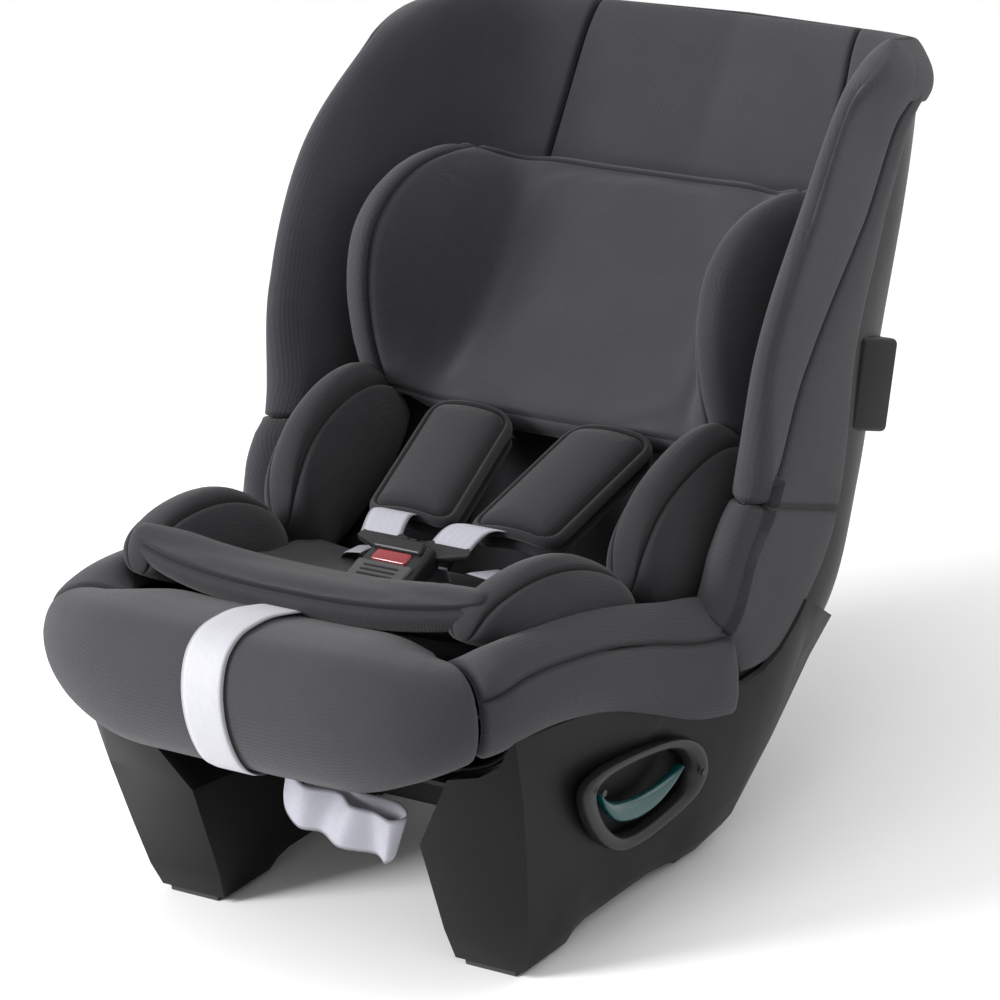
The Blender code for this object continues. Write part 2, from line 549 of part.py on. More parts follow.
def make_harness(m):
    tilt = math.atan2(PULL.z, PULL.y)
    rise = PULL.cross(ACROSS) * -1.0
    middle = Vector((0.0, 0.006, 0.2460))

    def at(x, along, up):
        return middle + ACROSS * x + PULL * along + rise * up

    rounded_box("crotch_pad", (0.084, 0.060, 0.008), (0.0, 0.0030, 0.2160), m["pad"], 0.0025, -0.30)
    crotch = [(0.0, 0.0340, 0.2340), (0.0, 0.0390, 0.2190), (0.0, 0.0440, 0.2050)]
    strap("crotch_strap", crotch, (ACROSS, ACROSS), m["webbing"], count=4)
    body = rounded_box("buckle_body", (0.062, 0.054, 0.020), at(0, -0.002, 0.0012), m["trim"], 0.005, tilt, 3)
    well = rounded_box("well", (0.0346, 0.0146, 0.020), at(0, 0.0150, 0.0100), m["trim"], 0.0, tilt)
    slot = rounded_box("slot", (0.054, 0.030, 0.0062), at(0, 0.0200, -0.0030), m["trim"], 0.0, tilt)
    for helper in (well, slot):
        add_modifier(body, "BOOLEAN", operation="DIFFERENCE", solver="EXACT", object=cutter(helper))
    rounded_box("buckle_button", (0.0334, 0.0134, 0.0080), at(0, 0.0150, 0.0075), m["red"], 0.0012, tilt)
    for side, hand in ((1.0, "left"), (-1.0, "right")):
        outline = ((0.0012, 0.007), (0.0240, 0.007), (0.0240, 0.0275), (0.0430, 0.0275), (0.0500, 0.0340))
        outline += ((0.0460, 0.0480), (0.0100, 0.0480), (0.0030, 0.0400), (0.0012, 0.0300))
        rings = [[at(side * x, a, up) for x, a in outline] for up in (-0.0048, -0.0014)]
        loft(f"tongue_{hand}", rings, m["trim"], smooth=0.0)
        path = [at(side * 0.026, 0.036, 0.0014), at(side * 0.032, 0.051, 0.0014)]
        path += [Vector((side * (0.0435 + 0.012 * k), 0.063 + 0.108 * k, 0.2660 + 0.008 * k)) for k in (0.0, 0.5, 1.0)]
        path += [Vector((side * 0.058, 0.191, 0.2680)), Vector((side * 0.060, 0.222, 0.2460))]
        strap(f"shoulder_strap_{hand}", path, (ACROSS, ACROSS), m["webbing"], count=7)
        for layer, low, high in (("pad", 0.0032, 0.0140), ("backing", -0.0085, -0.0032)):
            rings = []
            for along in between(0.0, 1.0, 7):
                y = 0.063 + 0.108 * along
                x = 0.0435 + 0.012 * along
                z = 0.2660 + 0.0080 * along
                half = 0.0370 * (1.0 if 0.01 < along < 0.99 else 0.80)
                ring = ((-half, low + 0.002), (-half + 0.003, low), (half - 0.003, low), (half, low + 0.002))
                ring += ((half, high - 0.004), (half - 0.006, high), (-half + 0.006, high), (-half, high - 0.004))
                if layer == "backing":
                    ring = ((-half, low), (half, low), (half, high), (-half, high))
                rings.append([Vector((side * (x + a), y, z + b)) for a, b in ring])
            loft(f"chest_{layer}_{hand}", rings, m["pad"])
        path = [Vector((side * 0.070, 0.040, 0.2330)), Vector((side * 0.092, 0.066, 0.2180))]
        path += [Vector((side * 0.110, 0.090, 0.2040))]
        strap(f"lap_strap_{hand}", path, ((0.30, -0.45, 0.85), (0.30, -0.45, 0.85)), m["webbing"], 0.030, count=6)


def make_adjuster(m):
    housing = rounded_box("adjuster_housing", (0.046, 0.034, 0.016), (0.0, -0.1370, 0.2290), m["trim"], 0.002)
    well = rounded_box("adjuster_well", (0.0312, 0.0232, 0.020), (0.0, -0.1370, 0.2350), m["trim"], 0.0)
    add_modifier(housing, "BOOLEAN", operation="DIFFERENCE", solver="EXACT", object=cutter(well))
    rounded_box("adjuster_button", (0.0300, 0.0220, 0.0100), (0.0, -0.1370, 0.2350), m["trim"], 0.0012)
    path = ((-0.1700, 0.2700), (-0.1860, 0.2745), (-0.2050, 0.2722), (-0.2190, 0.2600), (-0.2258, 0.2440))
    path += ((-0.2262, 0.2210), (-0.2206, 0.1980), (-0.2090, 0.1795), (-0.1910, 0.1668), (-0.1760, 0.1636))
    points = [Vector((0.0, y, z)) for y, z in path]
    strap("lip_strap", points, (ACROSS, ACROSS), m["light_webbing"], count=20)
    rings = []
    for x, y, z in ((-0.008, -0.150, 0.134), (0.014, -0.146, 0.122), (0.045, -0.140, 0.110), (0.082, -0.134, 0.101)):
        rings.append([Vector((x, y + a, z + b)) for a, b in ((-0.004, -0.016), (0.004, -0.016), (0.009, 0.016), (0.001, 0.016))])
    loft("strap_tail", rings, m["light_webbing"], smooth=0.0)


def main():
    clear_scene()
    m = materials()
    make_shell(m)
    make_covers(m)
    make_lip(m)
    make_base(m)
    make_insert(m)
    make_headrest(m)
    make_harness(m)
    make_adjuster(m)
    for obj in bpy.data.objects:
        obj.location.y -= ORIGIN_Y


main()
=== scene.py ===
"""A rear-facing child car seat: covers, insert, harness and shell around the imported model."""

import math

import bmesh
import bpy
from mathutils import Matrix, Vector


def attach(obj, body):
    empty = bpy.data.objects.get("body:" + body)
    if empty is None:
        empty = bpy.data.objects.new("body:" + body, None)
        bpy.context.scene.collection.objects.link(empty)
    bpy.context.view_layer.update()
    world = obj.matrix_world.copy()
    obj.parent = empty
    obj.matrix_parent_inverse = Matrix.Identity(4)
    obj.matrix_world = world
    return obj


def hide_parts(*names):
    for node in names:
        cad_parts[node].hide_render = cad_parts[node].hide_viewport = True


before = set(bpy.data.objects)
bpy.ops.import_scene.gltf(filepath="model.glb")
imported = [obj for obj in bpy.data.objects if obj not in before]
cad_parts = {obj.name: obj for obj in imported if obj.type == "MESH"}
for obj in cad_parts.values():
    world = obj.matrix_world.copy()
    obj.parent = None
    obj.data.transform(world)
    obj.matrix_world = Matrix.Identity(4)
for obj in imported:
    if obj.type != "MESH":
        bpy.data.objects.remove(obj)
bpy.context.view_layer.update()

bl_info = {
    "name": "Child Car Seat",
    "version": (1, 0, 0),
    "blender": (4, 5, 0),
    "location": "View3D > Sidebar > Car Seat",
    "description": "Makes the covers, insert, harness and shell of a rear-facing child car seat",
    "category": "Add Mesh",
}

SHIFT_Y = -0.1440  # from the seat's drawing frame to the middle of its footprint
SHIFT = Matrix.Translation((0.0, SHIFT_Y, 0.0))
BACK_ANGLE = math.radians(52.0)
BACK_UP = Vector((0.0, math.cos(BACK_ANGLE), math.sin(BACK_ANGLE)))
BACK_OUT = Vector((0.0, -math.sin(BACK_ANGLE), math.cos(BACK_ANGLE)))
HEAD_ZERO = Vector((0.0, 0.286, 0.264))
PULL = Vector((0.0, 0.95, 0.3122))
RISE = Vector((0.0, -0.3122, 0.95))
BUCKLE = Vector((0.0, 0.006, 0.2460))
ACROSS = Vector((1.0, 0.0, 0.0))
SIDES = ((1.0, "left"), (-1.0, "right"))


# ---------------------------------------------------------------- sizes and colours


class SeatSizes(bpy.types.PropertyGroup):
    """Sizes of the textiles and the moulded pieces."""

    puff: bpy.props.FloatProperty(
        name="Puff", description="How far the padding swells between seams", default=0.0035, unit="LENGTH"
    )
    groove: bpy.props.FloatProperty(
        name="Seam depth", description="How deep a sewn seam pulls in", default=0.0022, unit="LENGTH"
    )
    webbing_thickness: bpy.props.FloatProperty(
        name="Webbing thickness",
        description="Thickness of the harness webbing",
        default=0.0013,
        unit="LENGTH",
    )
    knit_pitch: bpy.props.FloatProperty(
        name="Knit pitch", description="Spacing of the knit's loops", default=0.0016, unit="LENGTH"
    )


class SeatColours(bpy.types.PropertyGroup):
    """Colours of the seat's materials."""

    cover: bpy.props.FloatVectorProperty(
        name="Cover", description="Colour of the main knit", default=(0.034, 0.033, 0.038), subtype="COLOR"
    )
    insert: bpy.props.FloatVectorProperty(
        name="Insert",
        description="Colour of the insert's knit",
        default=(0.024, 0.024, 0.027),
        subtype="COLOR",
    )
    pad: bpy.props.FloatVectorProperty(
        name="Pads",
        description="Colour of the harness pads",
        default=(0.0150, 0.0148, 0.0172),
        subtype="COLOR",
    )
    webbing: bpy.props.FloatVectorProperty(
        name="Webbing",
        description="Colour of the harness webbing",
        default=(0.30, 0.30, 0.345),
        subtype="COLOR",
    )
    light_webbing: bpy.props.FloatVectorProperty(
        name="Light webbing",
        description="Colour of the adjuster webbing",
        default=(0.36, 0.36, 0.39),
        subtype="COLOR",
    )
    plastic: bpy.props.FloatVectorProperty(
        name="Shell",
        description="Colour of the moulded shell",
        default=(0.0060, 0.0060, 0.0060),
        subtype="COLOR",
    )
    trim: bpy.props.FloatVectorProperty(
        name="Trim",
        description="Colour of the buckle and hooks",
        default=(0.0120, 0.0120, 0.0120),
        subtype="COLOR",
    )
    teal: bpy.props.FloatVectorProperty(
        name="Belt guide",
        description="Colour of the belt guides",
        default=(0.0, 0.046, 0.050),
        subtype="COLOR",
    )
    red: bpy.props.FloatVectorProperty(
        name="Button",
        description="Colour of the release button",
        default=(0.18, 0.003, 0.008),
        subtype="COLOR",
    )


def sizes():
    """The sizes that the panel holds."""
    return bpy.context.scene.seat_sizes


def colours():
    """The colours that the panel holds."""
    return bpy.context.scene.seat_colours


# ---------------------------------------------------------------- materials


FLOAT, COLOUR = "NodeSocketFloat", "NodeSocketColor"


def new_group(name, numbers):
    """A finish's node group: a colour and numbers in, a colour, roughness and height out."""
    group = bpy.data.node_groups.new(name, "ShaderNodeTree")
    group.interface.new_socket("Colour", in_out="INPUT", socket_type=COLOUR)
    for label, value in numbers.items():
        socket = group.interface.new_socket(label, in_out="INPUT", socket_type=FLOAT)
        socket.default_value = value
    for label, kind in (("Colour", COLOUR), ("Roughness", FLOAT), ("Height", FLOAT)):
        group.interface.new_socket(label, in_out="OUTPUT", socket_type=kind)
    return group, group.nodes.new("NodeGroupInput"), group.nodes.new("NodeGroupOutput")


def give(group, end, *values):
    """Links a group's results to its outputs, in their order."""
    for value, socket in zip(values, end.inputs):
        group.links.new(value, socket)


def add(tree, kind, links=(), **settings):
    """A node with its settings, its inputs linked or set."""
    node = tree.nodes.new(kind)
    for key, value in settings.items():
        setattr(node, key, value)
    for where, value in links:
        socket = node.inputs[where]
        if isinstance(value, bpy.types.NodeSocket):
            tree.links.new(value, socket)
        else:
            socket.default_value = value
    return node


def maths(tree, operation, *values):
    """The result of a sum on values and numbers."""
    return add(tree, "ShaderNodeMath", list(enumerate(values)), operation=operation).outputs[0]


def noise(tree, place, scale, detail):
    """A cloudy value, about 0.3 to 0.7."""
    links = [("Vector", place), ("Scale", scale), ("Detail", detail)]
    return add(tree, "ShaderNodeTexNoise", links).outputs[0]


def remap(tree, value, low, high, new_low, new_high):
    """A value whose range from low to high is stretched to a new one."""
    links = [(0, value), (1, low), (2, high), (3, new_low), (4, new_high)]
    return add(tree, "ShaderNodeMapRange", links).outputs[0]


def tinted(tree, colour, level):
    """A colour made lighter or darker by a level."""
    return add(tree, "ShaderNodeVectorMath", [(0, colour), ("Scale", level)], operation="SCALE").outputs[0]


def cloth_place(group):
    """Metres across and along the cloth, and the place in space."""
    cloth = add(group, "ShaderNodeUVMap", uv_map="Cloth").outputs[0]
    place = add(group, "ShaderNodeTexCoord").outputs["Object"]
    parts = add(group, "ShaderNodeSeparateXYZ", [(0, cloth)])
    return parts.outputs[0], parts.outputs[1], place


def knit_group():
    """A fine weft knit: rows of loops, a soft mottle, and painted shade that darkens the cloth along its
    stitched seams and its borders.
    """
    group, start, end = new_group("Knit", {"Pitch": 0.0016, "Mottle": 0.10})
    wide, high, place = cloth_place(group)
    pitch = start.outputs["Pitch"]
    across = maths(group, "MULTIPLY", maths(group, "DIVIDE", wide, pitch), math.tau)
    along = maths(group, "MULTIPLY", maths(group, "DIVIDE", high, pitch), math.tau * 1.25)
    bent = maths(group, "ADD", along, maths(group, "MULTIPLY", maths(group, "SINE", across), 0.9))
    rows = maths(group, "MULTIPLY", maths(group, "SINE", bent), 0.5)
    wales = maths(group, "MULTIPLY", maths(group, "COSINE", maths(group, "MULTIPLY", across, 0.5)), 0.35)
    loops = maths(group, "ADD", rows, wales)
    fuzz = noise(group, place, 900.0, 3.0)
    cloud = noise(group, place, 24.0, 4.0)
    seam = add(group, "ShaderNodeAttribute", attribute_name="seam").outputs["Fac"]
    # painted shade: the colour falls to 0.42 of itself at a seam or border and is full again about 4 mm away
    seam_shade = remap(group, seam, 0.0004, 0.0042, 0.42, 1.0)
    cloudy = remap(group, cloud, 0.3, 0.7, -0.5, 0.5)
    grainy = remap(group, fuzz, 0.3, 0.7, -0.6, 0.6)
    varied = maths(group, "MULTIPLY", maths(group, "ADD", cloudy, grainy), start.outputs["Mottle"])
    looped = maths(group, "MULTIPLY", loops, 0.10)
    level = maths(group, "ADD", maths(group, "ADD", varied, looped), 1.0)
    tint = tinted(group, start.outputs["Colour"], maths(group, "MULTIPLY", level, seam_shade))
    rough = remap(group, fuzz, 0.3, 0.7, 0.78, 0.95)
    height = maths(group, "ADD", loops, maths(group, "MULTIPLY", fuzz, 0.8))
    give(group, end, tint, rough, height)


def webbing_group():
    """Narrow woven webbing: herringbone ribs along its length and a bound edge."""
    group, start, end = new_group("Webbing", {"Width": 0.036, "Contrast": 0.25})
    wide, high, place = cloth_place(group)
    slant = maths(group, "ADD", high, maths(group, "PINGPONG", wide, 0.0032))
    ribs = maths(group, "SINE", maths(group, "MULTIPLY", slant, math.tau / 0.0016))
    ends = maths(group, "SINE", maths(group, "MULTIPLY", wide, math.tau / 0.0011))
    height = maths(group, "ADD", maths(group, "MULTIPLY", ribs, 0.6), maths(group, "MULTIPLY", ends, 0.35))
    fuzz = noise(group, place, 700.0, 2.0)
    half = maths(group, "MULTIPLY", start.outputs["Width"], 0.5)
    edge = maths(group, "DIVIDE", maths(group, "ABSOLUTE", maths(group, "SUBTRACT", wide, half)), half)
    bound = remap(group, edge, 0.86, 0.95, 1.0, 0.82)
    level = maths(group, "ADD", maths(group, "MULTIPLY", height, start.outputs["Contrast"]), 0.9)
    level = maths(group, "ADD", level, maths(group, "MULTIPLY", fuzz, 0.2))
    tint = tinted(group, start.outputs["Colour"], maths(group, "MULTIPLY", level, bound))
    give(group, end, tint, remap(group, ribs, -1.0, 1.0, 0.62, 0.42), height)


def moulded_group():
    """Moulded plastic: a fine spark-eroded grain, a faint flow mottle, and colour made lighter on convex
    high spots.
    """
    feel = {"Grain": 900.0, "Low roughness": 0.38, "High roughness": 0.55, "Convex lift": 0.12}
    group, start, end = new_group("Moulded", feel)
    place = add(group, "ShaderNodeTexCoord").outputs["Object"]
    fineness = start.outputs["Grain"]
    grain = noise(group, place, fineness, 4.0)
    cells = add(group, "ShaderNodeTexVoronoi", [("Vector", place), ("Scale", fineness)], feature="F1")
    flow = noise(group, place, 11.0, 5.0)
    point = add(group, "ShaderNodeNewGeometry").outputs["Pointiness"]
    high = remap(group, point, 0.52, 0.62, 0.0, 1.0)
    # colour made lighter on convex high spots, scaled by the flow mottle and the group's lift amount
    convex_lift = maths(group, "MULTIPLY", maths(group, "MULTIPLY", high, flow), start.outputs["Convex lift"])
    tint = tinted(group, start.outputs["Colour"], remap(group, flow, 0.3, 0.7, 0.92, 1.08))
    light = add(group, "ShaderNodeVectorMath", [(0, tint), (1, convex_lift)], operation="ADD").outputs[0]
    mix = maths(group, "ADD", maths(group, "MULTIPLY", flow, 0.6), maths(group, "MULTIPLY", grain, 0.4))
    rough = remap(group, mix, 0.3, 0.7, start.outputs["Low roughness"], start.outputs["High roughness"])
    height = maths(group, "ADD", grain, maths(group, "MULTIPLY", cells.outputs["Distance"], 0.7))
    give(group, end, light, rough, height)


def surface(name, group, colour, values, bump, distance, constants):
    """A material whose colour, roughness and bump come from a group, and its constants from its shader."""
    made = bpy.data.materials.new(name)
    made.use_nodes = True
    tree = made.node_tree
    shader = tree.nodes["Principled BSDF"]
    effect = tree.nodes.new("ShaderNodeGroup")
    effect.node_tree = bpy.data.node_groups[group]
    effect.inputs["Colour"].default_value = (*colour, 1.0)
    for key, value in values.items():
        effect.inputs[key].default_value = value
    tree.links.new(effect.outputs["Colour"], shader.inputs["Base Color"])
    tree.links.new(effect.outputs["Roughness"], shader.inputs["Roughness"])
    links = [("Strength", bump), ("Distance", distance), ("Height", effect.outputs["Height"])]
    relief = add(tree, "ShaderNodeBump", links)
    tree.links.new(relief.outputs[0], shader.inputs["Normal"])
    for key, value in constants.items():
        shader.inputs[key].default_value = value


def make_materials():
    """The seat's knits, webbings, plastics, rubber and steel."""
    knit_group()
    webbing_group()
    moulded_group()
    c = colours()
    pitch = sizes().knit_pitch
    gloss = "Specular IOR Level"
    cloth = {"Sheen Weight": 0.12, "Sheen Roughness": 0.5, gloss: 0.12}
    knits = (
        # name, colour, pitch, mottle, bump strength and distance
        ("cover knit", c.cover, pitch, 0.10, 0.35, 0.0006),
        ("insert knit", c.insert, pitch * 0.8, 0.12, 0.35, 0.0005),
        ("pad knit", c.pad, pitch * 0.7, 0.12, 0.35, 0.0005),
        ("binding", c.pad, 0.0011, 0.16, 0.45, 0.0005),
    )
    for name, colour, loops, mottle, bump, distance in knits:
        surface(name, "Knit", colour, {"Pitch": loops, "Mottle": mottle}, bump, distance, cloth)
    silky = {"Sheen Weight": 0.2, gloss: 0.4}
    surface("silver webbing", "Webbing", c.webbing, {"Width": 0.036}, 0.5, 0.0004, silky)
    light = {"Width": 0.036, "Contrast": 0.10}
    surface("light webbing", "Webbing", c.light_webbing, light, 0.4, 0.0004, silky)
    mouldings = (
        # name, colour, (grain, low and high roughness, convex lift), bump strength and distance, constants
        ("shell plastic", c.plastic, (1100.0, 0.34, 0.50, 0.006), 0.14, 0.0003, {gloss: 0.13}),
        ("trim plastic", c.trim, (1500.0, 0.30, 0.44, 0.02), 0.12, 0.0002, {gloss: 0.26}),
        ("grey plastic", (0.040, 0.040, 0.042), (1500.0, 0.32, 0.46, 0.02), 0.12, 0.0002, {}),
        ("teal plastic", c.teal, (500.0, 0.20, 0.32, 0.03), 0.05, 0.0002, {"Coat Weight": 0.25}),
        ("red plastic", c.red, (500.0, 0.20, 0.32, 0.03), 0.05, 0.0002, {"Coat Weight": 0.35}),
        ("foot rubber", (0.016, 0.016, 0.016), (700.0, 0.75, 0.92, 0.02), 0.3, 0.0004, {}),
        ("dark steel", (0.05, 0.05, 0.052), (1600.0, 0.30, 0.5, 0.04), 0.08, 0.0002, {"Metallic": 1.0}),
    )
    for name, colour, feel, bump, distance, constants in mouldings:
        values = dict(zip(("Grain", "Low roughness", "High roughness", "Convex lift"), feel))
        surface(name, "Moulded", colour, values, bump, distance, constants)


# ---------------------------------------------------------------- the bucket's shape

# Stations from the seat's front to the top of the back: the outer skin's centre (y, z), corner and rim
# (x, y, z), then the same for the face that the child sits on.
STATIONS = (
    ((-0.160, 0.172), (0.184, -0.152, 0.168), (0.193, -0.135, 0.245),
     (-0.150, 0.212), (0.150, -0.148, 0.212), (0.163, -0.130, 0.257)),
    ((-0.040, 0.138), (0.180, -0.035, 0.150), (0.203, -0.020, 0.228),
     (-0.035, 0.186), (0.156, -0.030, 0.186), (0.172, -0.018, 0.239)),
    ((0.070, 0.112), (0.182, 0.085, 0.112), (0.209, 0.060, 0.200),
     (0.065, 0.158), (0.164, 0.070, 0.154), (0.180, 0.056, 0.212)),
    ((0.190, 0.084), (0.188, 0.215, 0.082), (0.213, 0.098, 0.206),
     (0.155, 0.140), (0.172, 0.165, 0.135), (0.186, 0.094, 0.216)),
    ((0.300, 0.132), (0.200, 0.305, 0.130), (0.217, 0.118, 0.246),
     (0.225, 0.184), (0.176, 0.225, 0.190), (0.190, 0.112, 0.250)),
    ((0.368, 0.220), (0.197, 0.362, 0.218), (0.220, 0.146, 0.292),
     (0.286, 0.264), (0.178, 0.280, 0.270), (0.194, 0.138, 0.297)),
    ((0.425, 0.310), (0.192, 0.412, 0.310), (0.222, 0.155, 0.384),
     (0.348, 0.348), (0.180, 0.338, 0.354), (0.200, 0.168, 0.389)),
    ((0.474, 0.400), (0.187, 0.455, 0.400), (0.226, 0.214, 0.471),
     (0.410, 0.426), (0.180, 0.392, 0.434), (0.205, 0.232, 0.477)),
    ((0.500, 0.472), (0.184, 0.476, 0.470), (0.2135, 0.294, 0.532),
     (0.456, 0.484), (0.178, 0.430, 0.496), (0.196, 0.308, 0.534)),
    ((0.508, 0.522), (0.178, 0.480, 0.526), (0.205, 0.372, 0.557),
     (0.482, 0.528), (0.172, 0.454, 0.538), (0.190, 0.374, 0.557)),
)
LAST = len(STATIONS) - 1


def curve(rows, place):
    """The value at a place on the smooth curve through rows of numbers or vectors."""
    i = min(max(int(place), 0), len(rows) - 2)
    a, b, c, d = (Vector(rows[min(max(k, 0), len(rows) - 1)]) for k in (i - 1, i, i + 1, i + 2))
    s = place - i
    return 0.5 * (
        2.0 * b + (c - a) * s + (2.0 * a - 5.0 * b + 4.0 * c - d) * s * s + (3.0 * (b - c) + d - a) * s**3
    )


def table(rows, value):
    """A row of numbers read at a value of its first column, on straight lines."""
    for low, high in zip(rows, rows[1:]):
        if value <= high[0] or high is rows[-1]:
            share = (value - low[0]) / (high[0] - low[0])
            share = min(max(share, 0.0), 1.0)
            return [a + (b - a) * share for a, b in zip(low[1:], high[1:])]


def half_section(centre, corner, rim, u):
    """A point on a half section: straight from the centre, round the corner, straight to the rim."""
    start, end = centre.lerp(corner, 0.58), corner.lerp(rim, 0.42)
    if u < 0.36:
        return centre.lerp(start, u / 0.36)
    if u > 0.64:
        return end.lerp(rim, (u - 0.64) / 0.36)
    s = (u - 0.36) / 0.28
    return start.lerp(corner, s).lerp(corner.lerp(end, s), s)


def station(v):
    """The six points of the section at v. Past the last station, they run straight on."""
    over = max(v - 1.0, 0.0)
    values = []
    for column in range(6):
        cells = [(0.0, *row[column]) if column in (0, 3) else row[column] for row in STATIONS]
        point = curve(cells, min(v, 1.0) * LAST)
        if over:
            point += (point - curve(cells, LAST - 0.2)) * over * LAST / 0.2
        values.append(point)
    return values


STATION_CACHE = {}


def bucket(u, v, t):
    """The bucket's point: u across from its middle (0) to its rim (1), v from the seat's front (0) to the
    back's top (1), and t from the shell's outer skin (0) to the face that the child sits on (1)."""
    key = round(v, 6)
    if key not in STATION_CACHE:
        STATION_CACHE[key] = station(v)
    values = STATION_CACHE[key]
    point = half_section(*values[:3], abs(u)).lerp(half_section(*values[3:], abs(u)), t)
    return Vector((math.copysign(point.x, u) if u else 0.0, point.y, point.z))


def span(u, v):
    """How far the face that the child sits on lies from the outer skin."""
    return max((bucket(u, v, 1.0) - bucket(u, v, 0.0)).length, 0.004)


def above(u, v, height):
    """The bucket's point that lies height above the face that the child sits on."""
    return bucket(u, v, 1.0 + height / span(u, v))


def head_point(x, along, out):
    """A point of the headrest: along the back from its foot, and out from the back's face."""
    return HEAD_ZERO + BACK_UP * along + BACK_OUT * out + Vector((x, 0.0, 0.0))


# ---------------------------------------------------------------- building with cloth


def fresh(name):
    """A name for a new piece, apart from the CAD node that it may stand for."""
    return f"{name}_finish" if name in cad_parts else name


def deselect():
    """Leaves nothing selected or active."""
    for obj in bpy.context.selected_objects:
        obj.select_set(False)
    bpy.context.view_layer.objects.active = None


def choose(obj):
    """Selects one object alone and makes it active."""
    deselect()
    obj.select_set(True)
    bpy.context.view_layer.objects.active = obj


def apply_all(obj):
    """Applies a piece's modifiers and its place, so that it lies at the origin."""
    choose(obj)
    for modifier in list(obj.modifiers):
        bpy.ops.object.modifier_apply(modifier=modifier.name)
    bpy.ops.object.transform_apply(location=True, rotation=True, scale=True)


SEAM_STEPS = (0.0008, 0.0018, 0.0034, 0.0056)  # metres from a seam or an end to the closer lines of points
CLOSEST = 0.0003


def spaced(low, high, count, marks=(), scale=1.0):
    """Even values from low to high, with closer ones beside the marks and the ends.

    scale is metres per 1.
    """
    fixed = sorted({low, high, *marks})
    near = {m + sign * f / scale for m in fixed for f in SEAM_STEPS for sign in (-1.0, 1.0)}
    near = [n for n in near if low < n < high]
    even = [low + (high - low) * i / count for i in range(1, count)]
    even = [e for e in even if min(abs(e - n) for n in (*near, *fixed)) > 0.35 * (high - low) / count]
    found = sorted({*fixed, *near, *even})
    kept = [found[0]]
    for value in found[1:]:
        if value - kept[-1] > CLOSEST / scale or value in fixed:
            if value in fixed and value - kept[-1] <= CLOSEST / scale and kept[-1] not in fixed:
                kept.pop()
            kept.append(value)
    return kept


def lengths(points):
    """The distance from the first point to each one, along them all."""
    found = [0.0]
    for a, b in zip(points, points[1:]):
        found.append(found[-1] + (b - a).length)
    return found


def rolled(distance, radius):
    """How full a rolled edge is, from 0 at its border to 1 past its radius."""
    share = min(max(distance / radius, 0.0), 1.0)
    return math.sqrt(max(1.0 - (1.0 - share) ** 2, 0.0))


def weld(bm):
    """Merges the points that lie together, and removes the faces that this empties."""
    bmesh.ops.remove_doubles(bm, verts=bm.verts, dist=2e-5)
    bmesh.ops.dissolve_degenerate(bm, edges=bm.edges, dist=1e-6)


def skin(bm, rings):
    """Faces between neighbouring closed rings of points."""
    faces = []
    for low, high in zip(rings, rings[1:]):
        for corners in zip(low, low[1:] + low[:1], high[1:] + high[:1], high):
            faces.append(bm.faces.new(corners))
    return faces


def lay(faces, cloth, spots):
    """Gives faces their place on the cloth, from their points' places."""
    for face in faces:
        for loop in face.loops:
            loop[cloth].uv = spots[loop.vert]


def look_out(bm):
    """Turns a closed skin that is inside out."""
    if bm.calc_volume(signed=True) < 0.0:
        bmesh.ops.reverse_faces(bm, faces=bm.faces)


def new_piece(name, bm, stuff, shift=False):
    """A piece with a smooth skin in its material, moved from the drawing frame if shift."""
    mesh = bpy.data.meshes.new(fresh(name))
    bm.to_mesh(mesh)
    bm.free()
    mesh.shade_smooth()
    if shift:
        mesh.transform(SHIFT)
    mesh.materials.append(bpy.data.materials[stuff])
    obj = bpy.data.objects.new(fresh(name), mesh)
    bpy.context.scene.collection.objects.link(obj)
    return obj


SEAM_HALF = 0.0020  # how far a seam's groove reaches


def swollen(near, reach, puff, groove):
    """How far padding stands out at a distance from its nearest seam or border."""
    return puff * (1.0 - math.exp(-near / reach)) - groove * math.exp(-((near / SEAM_HALF) ** 2))


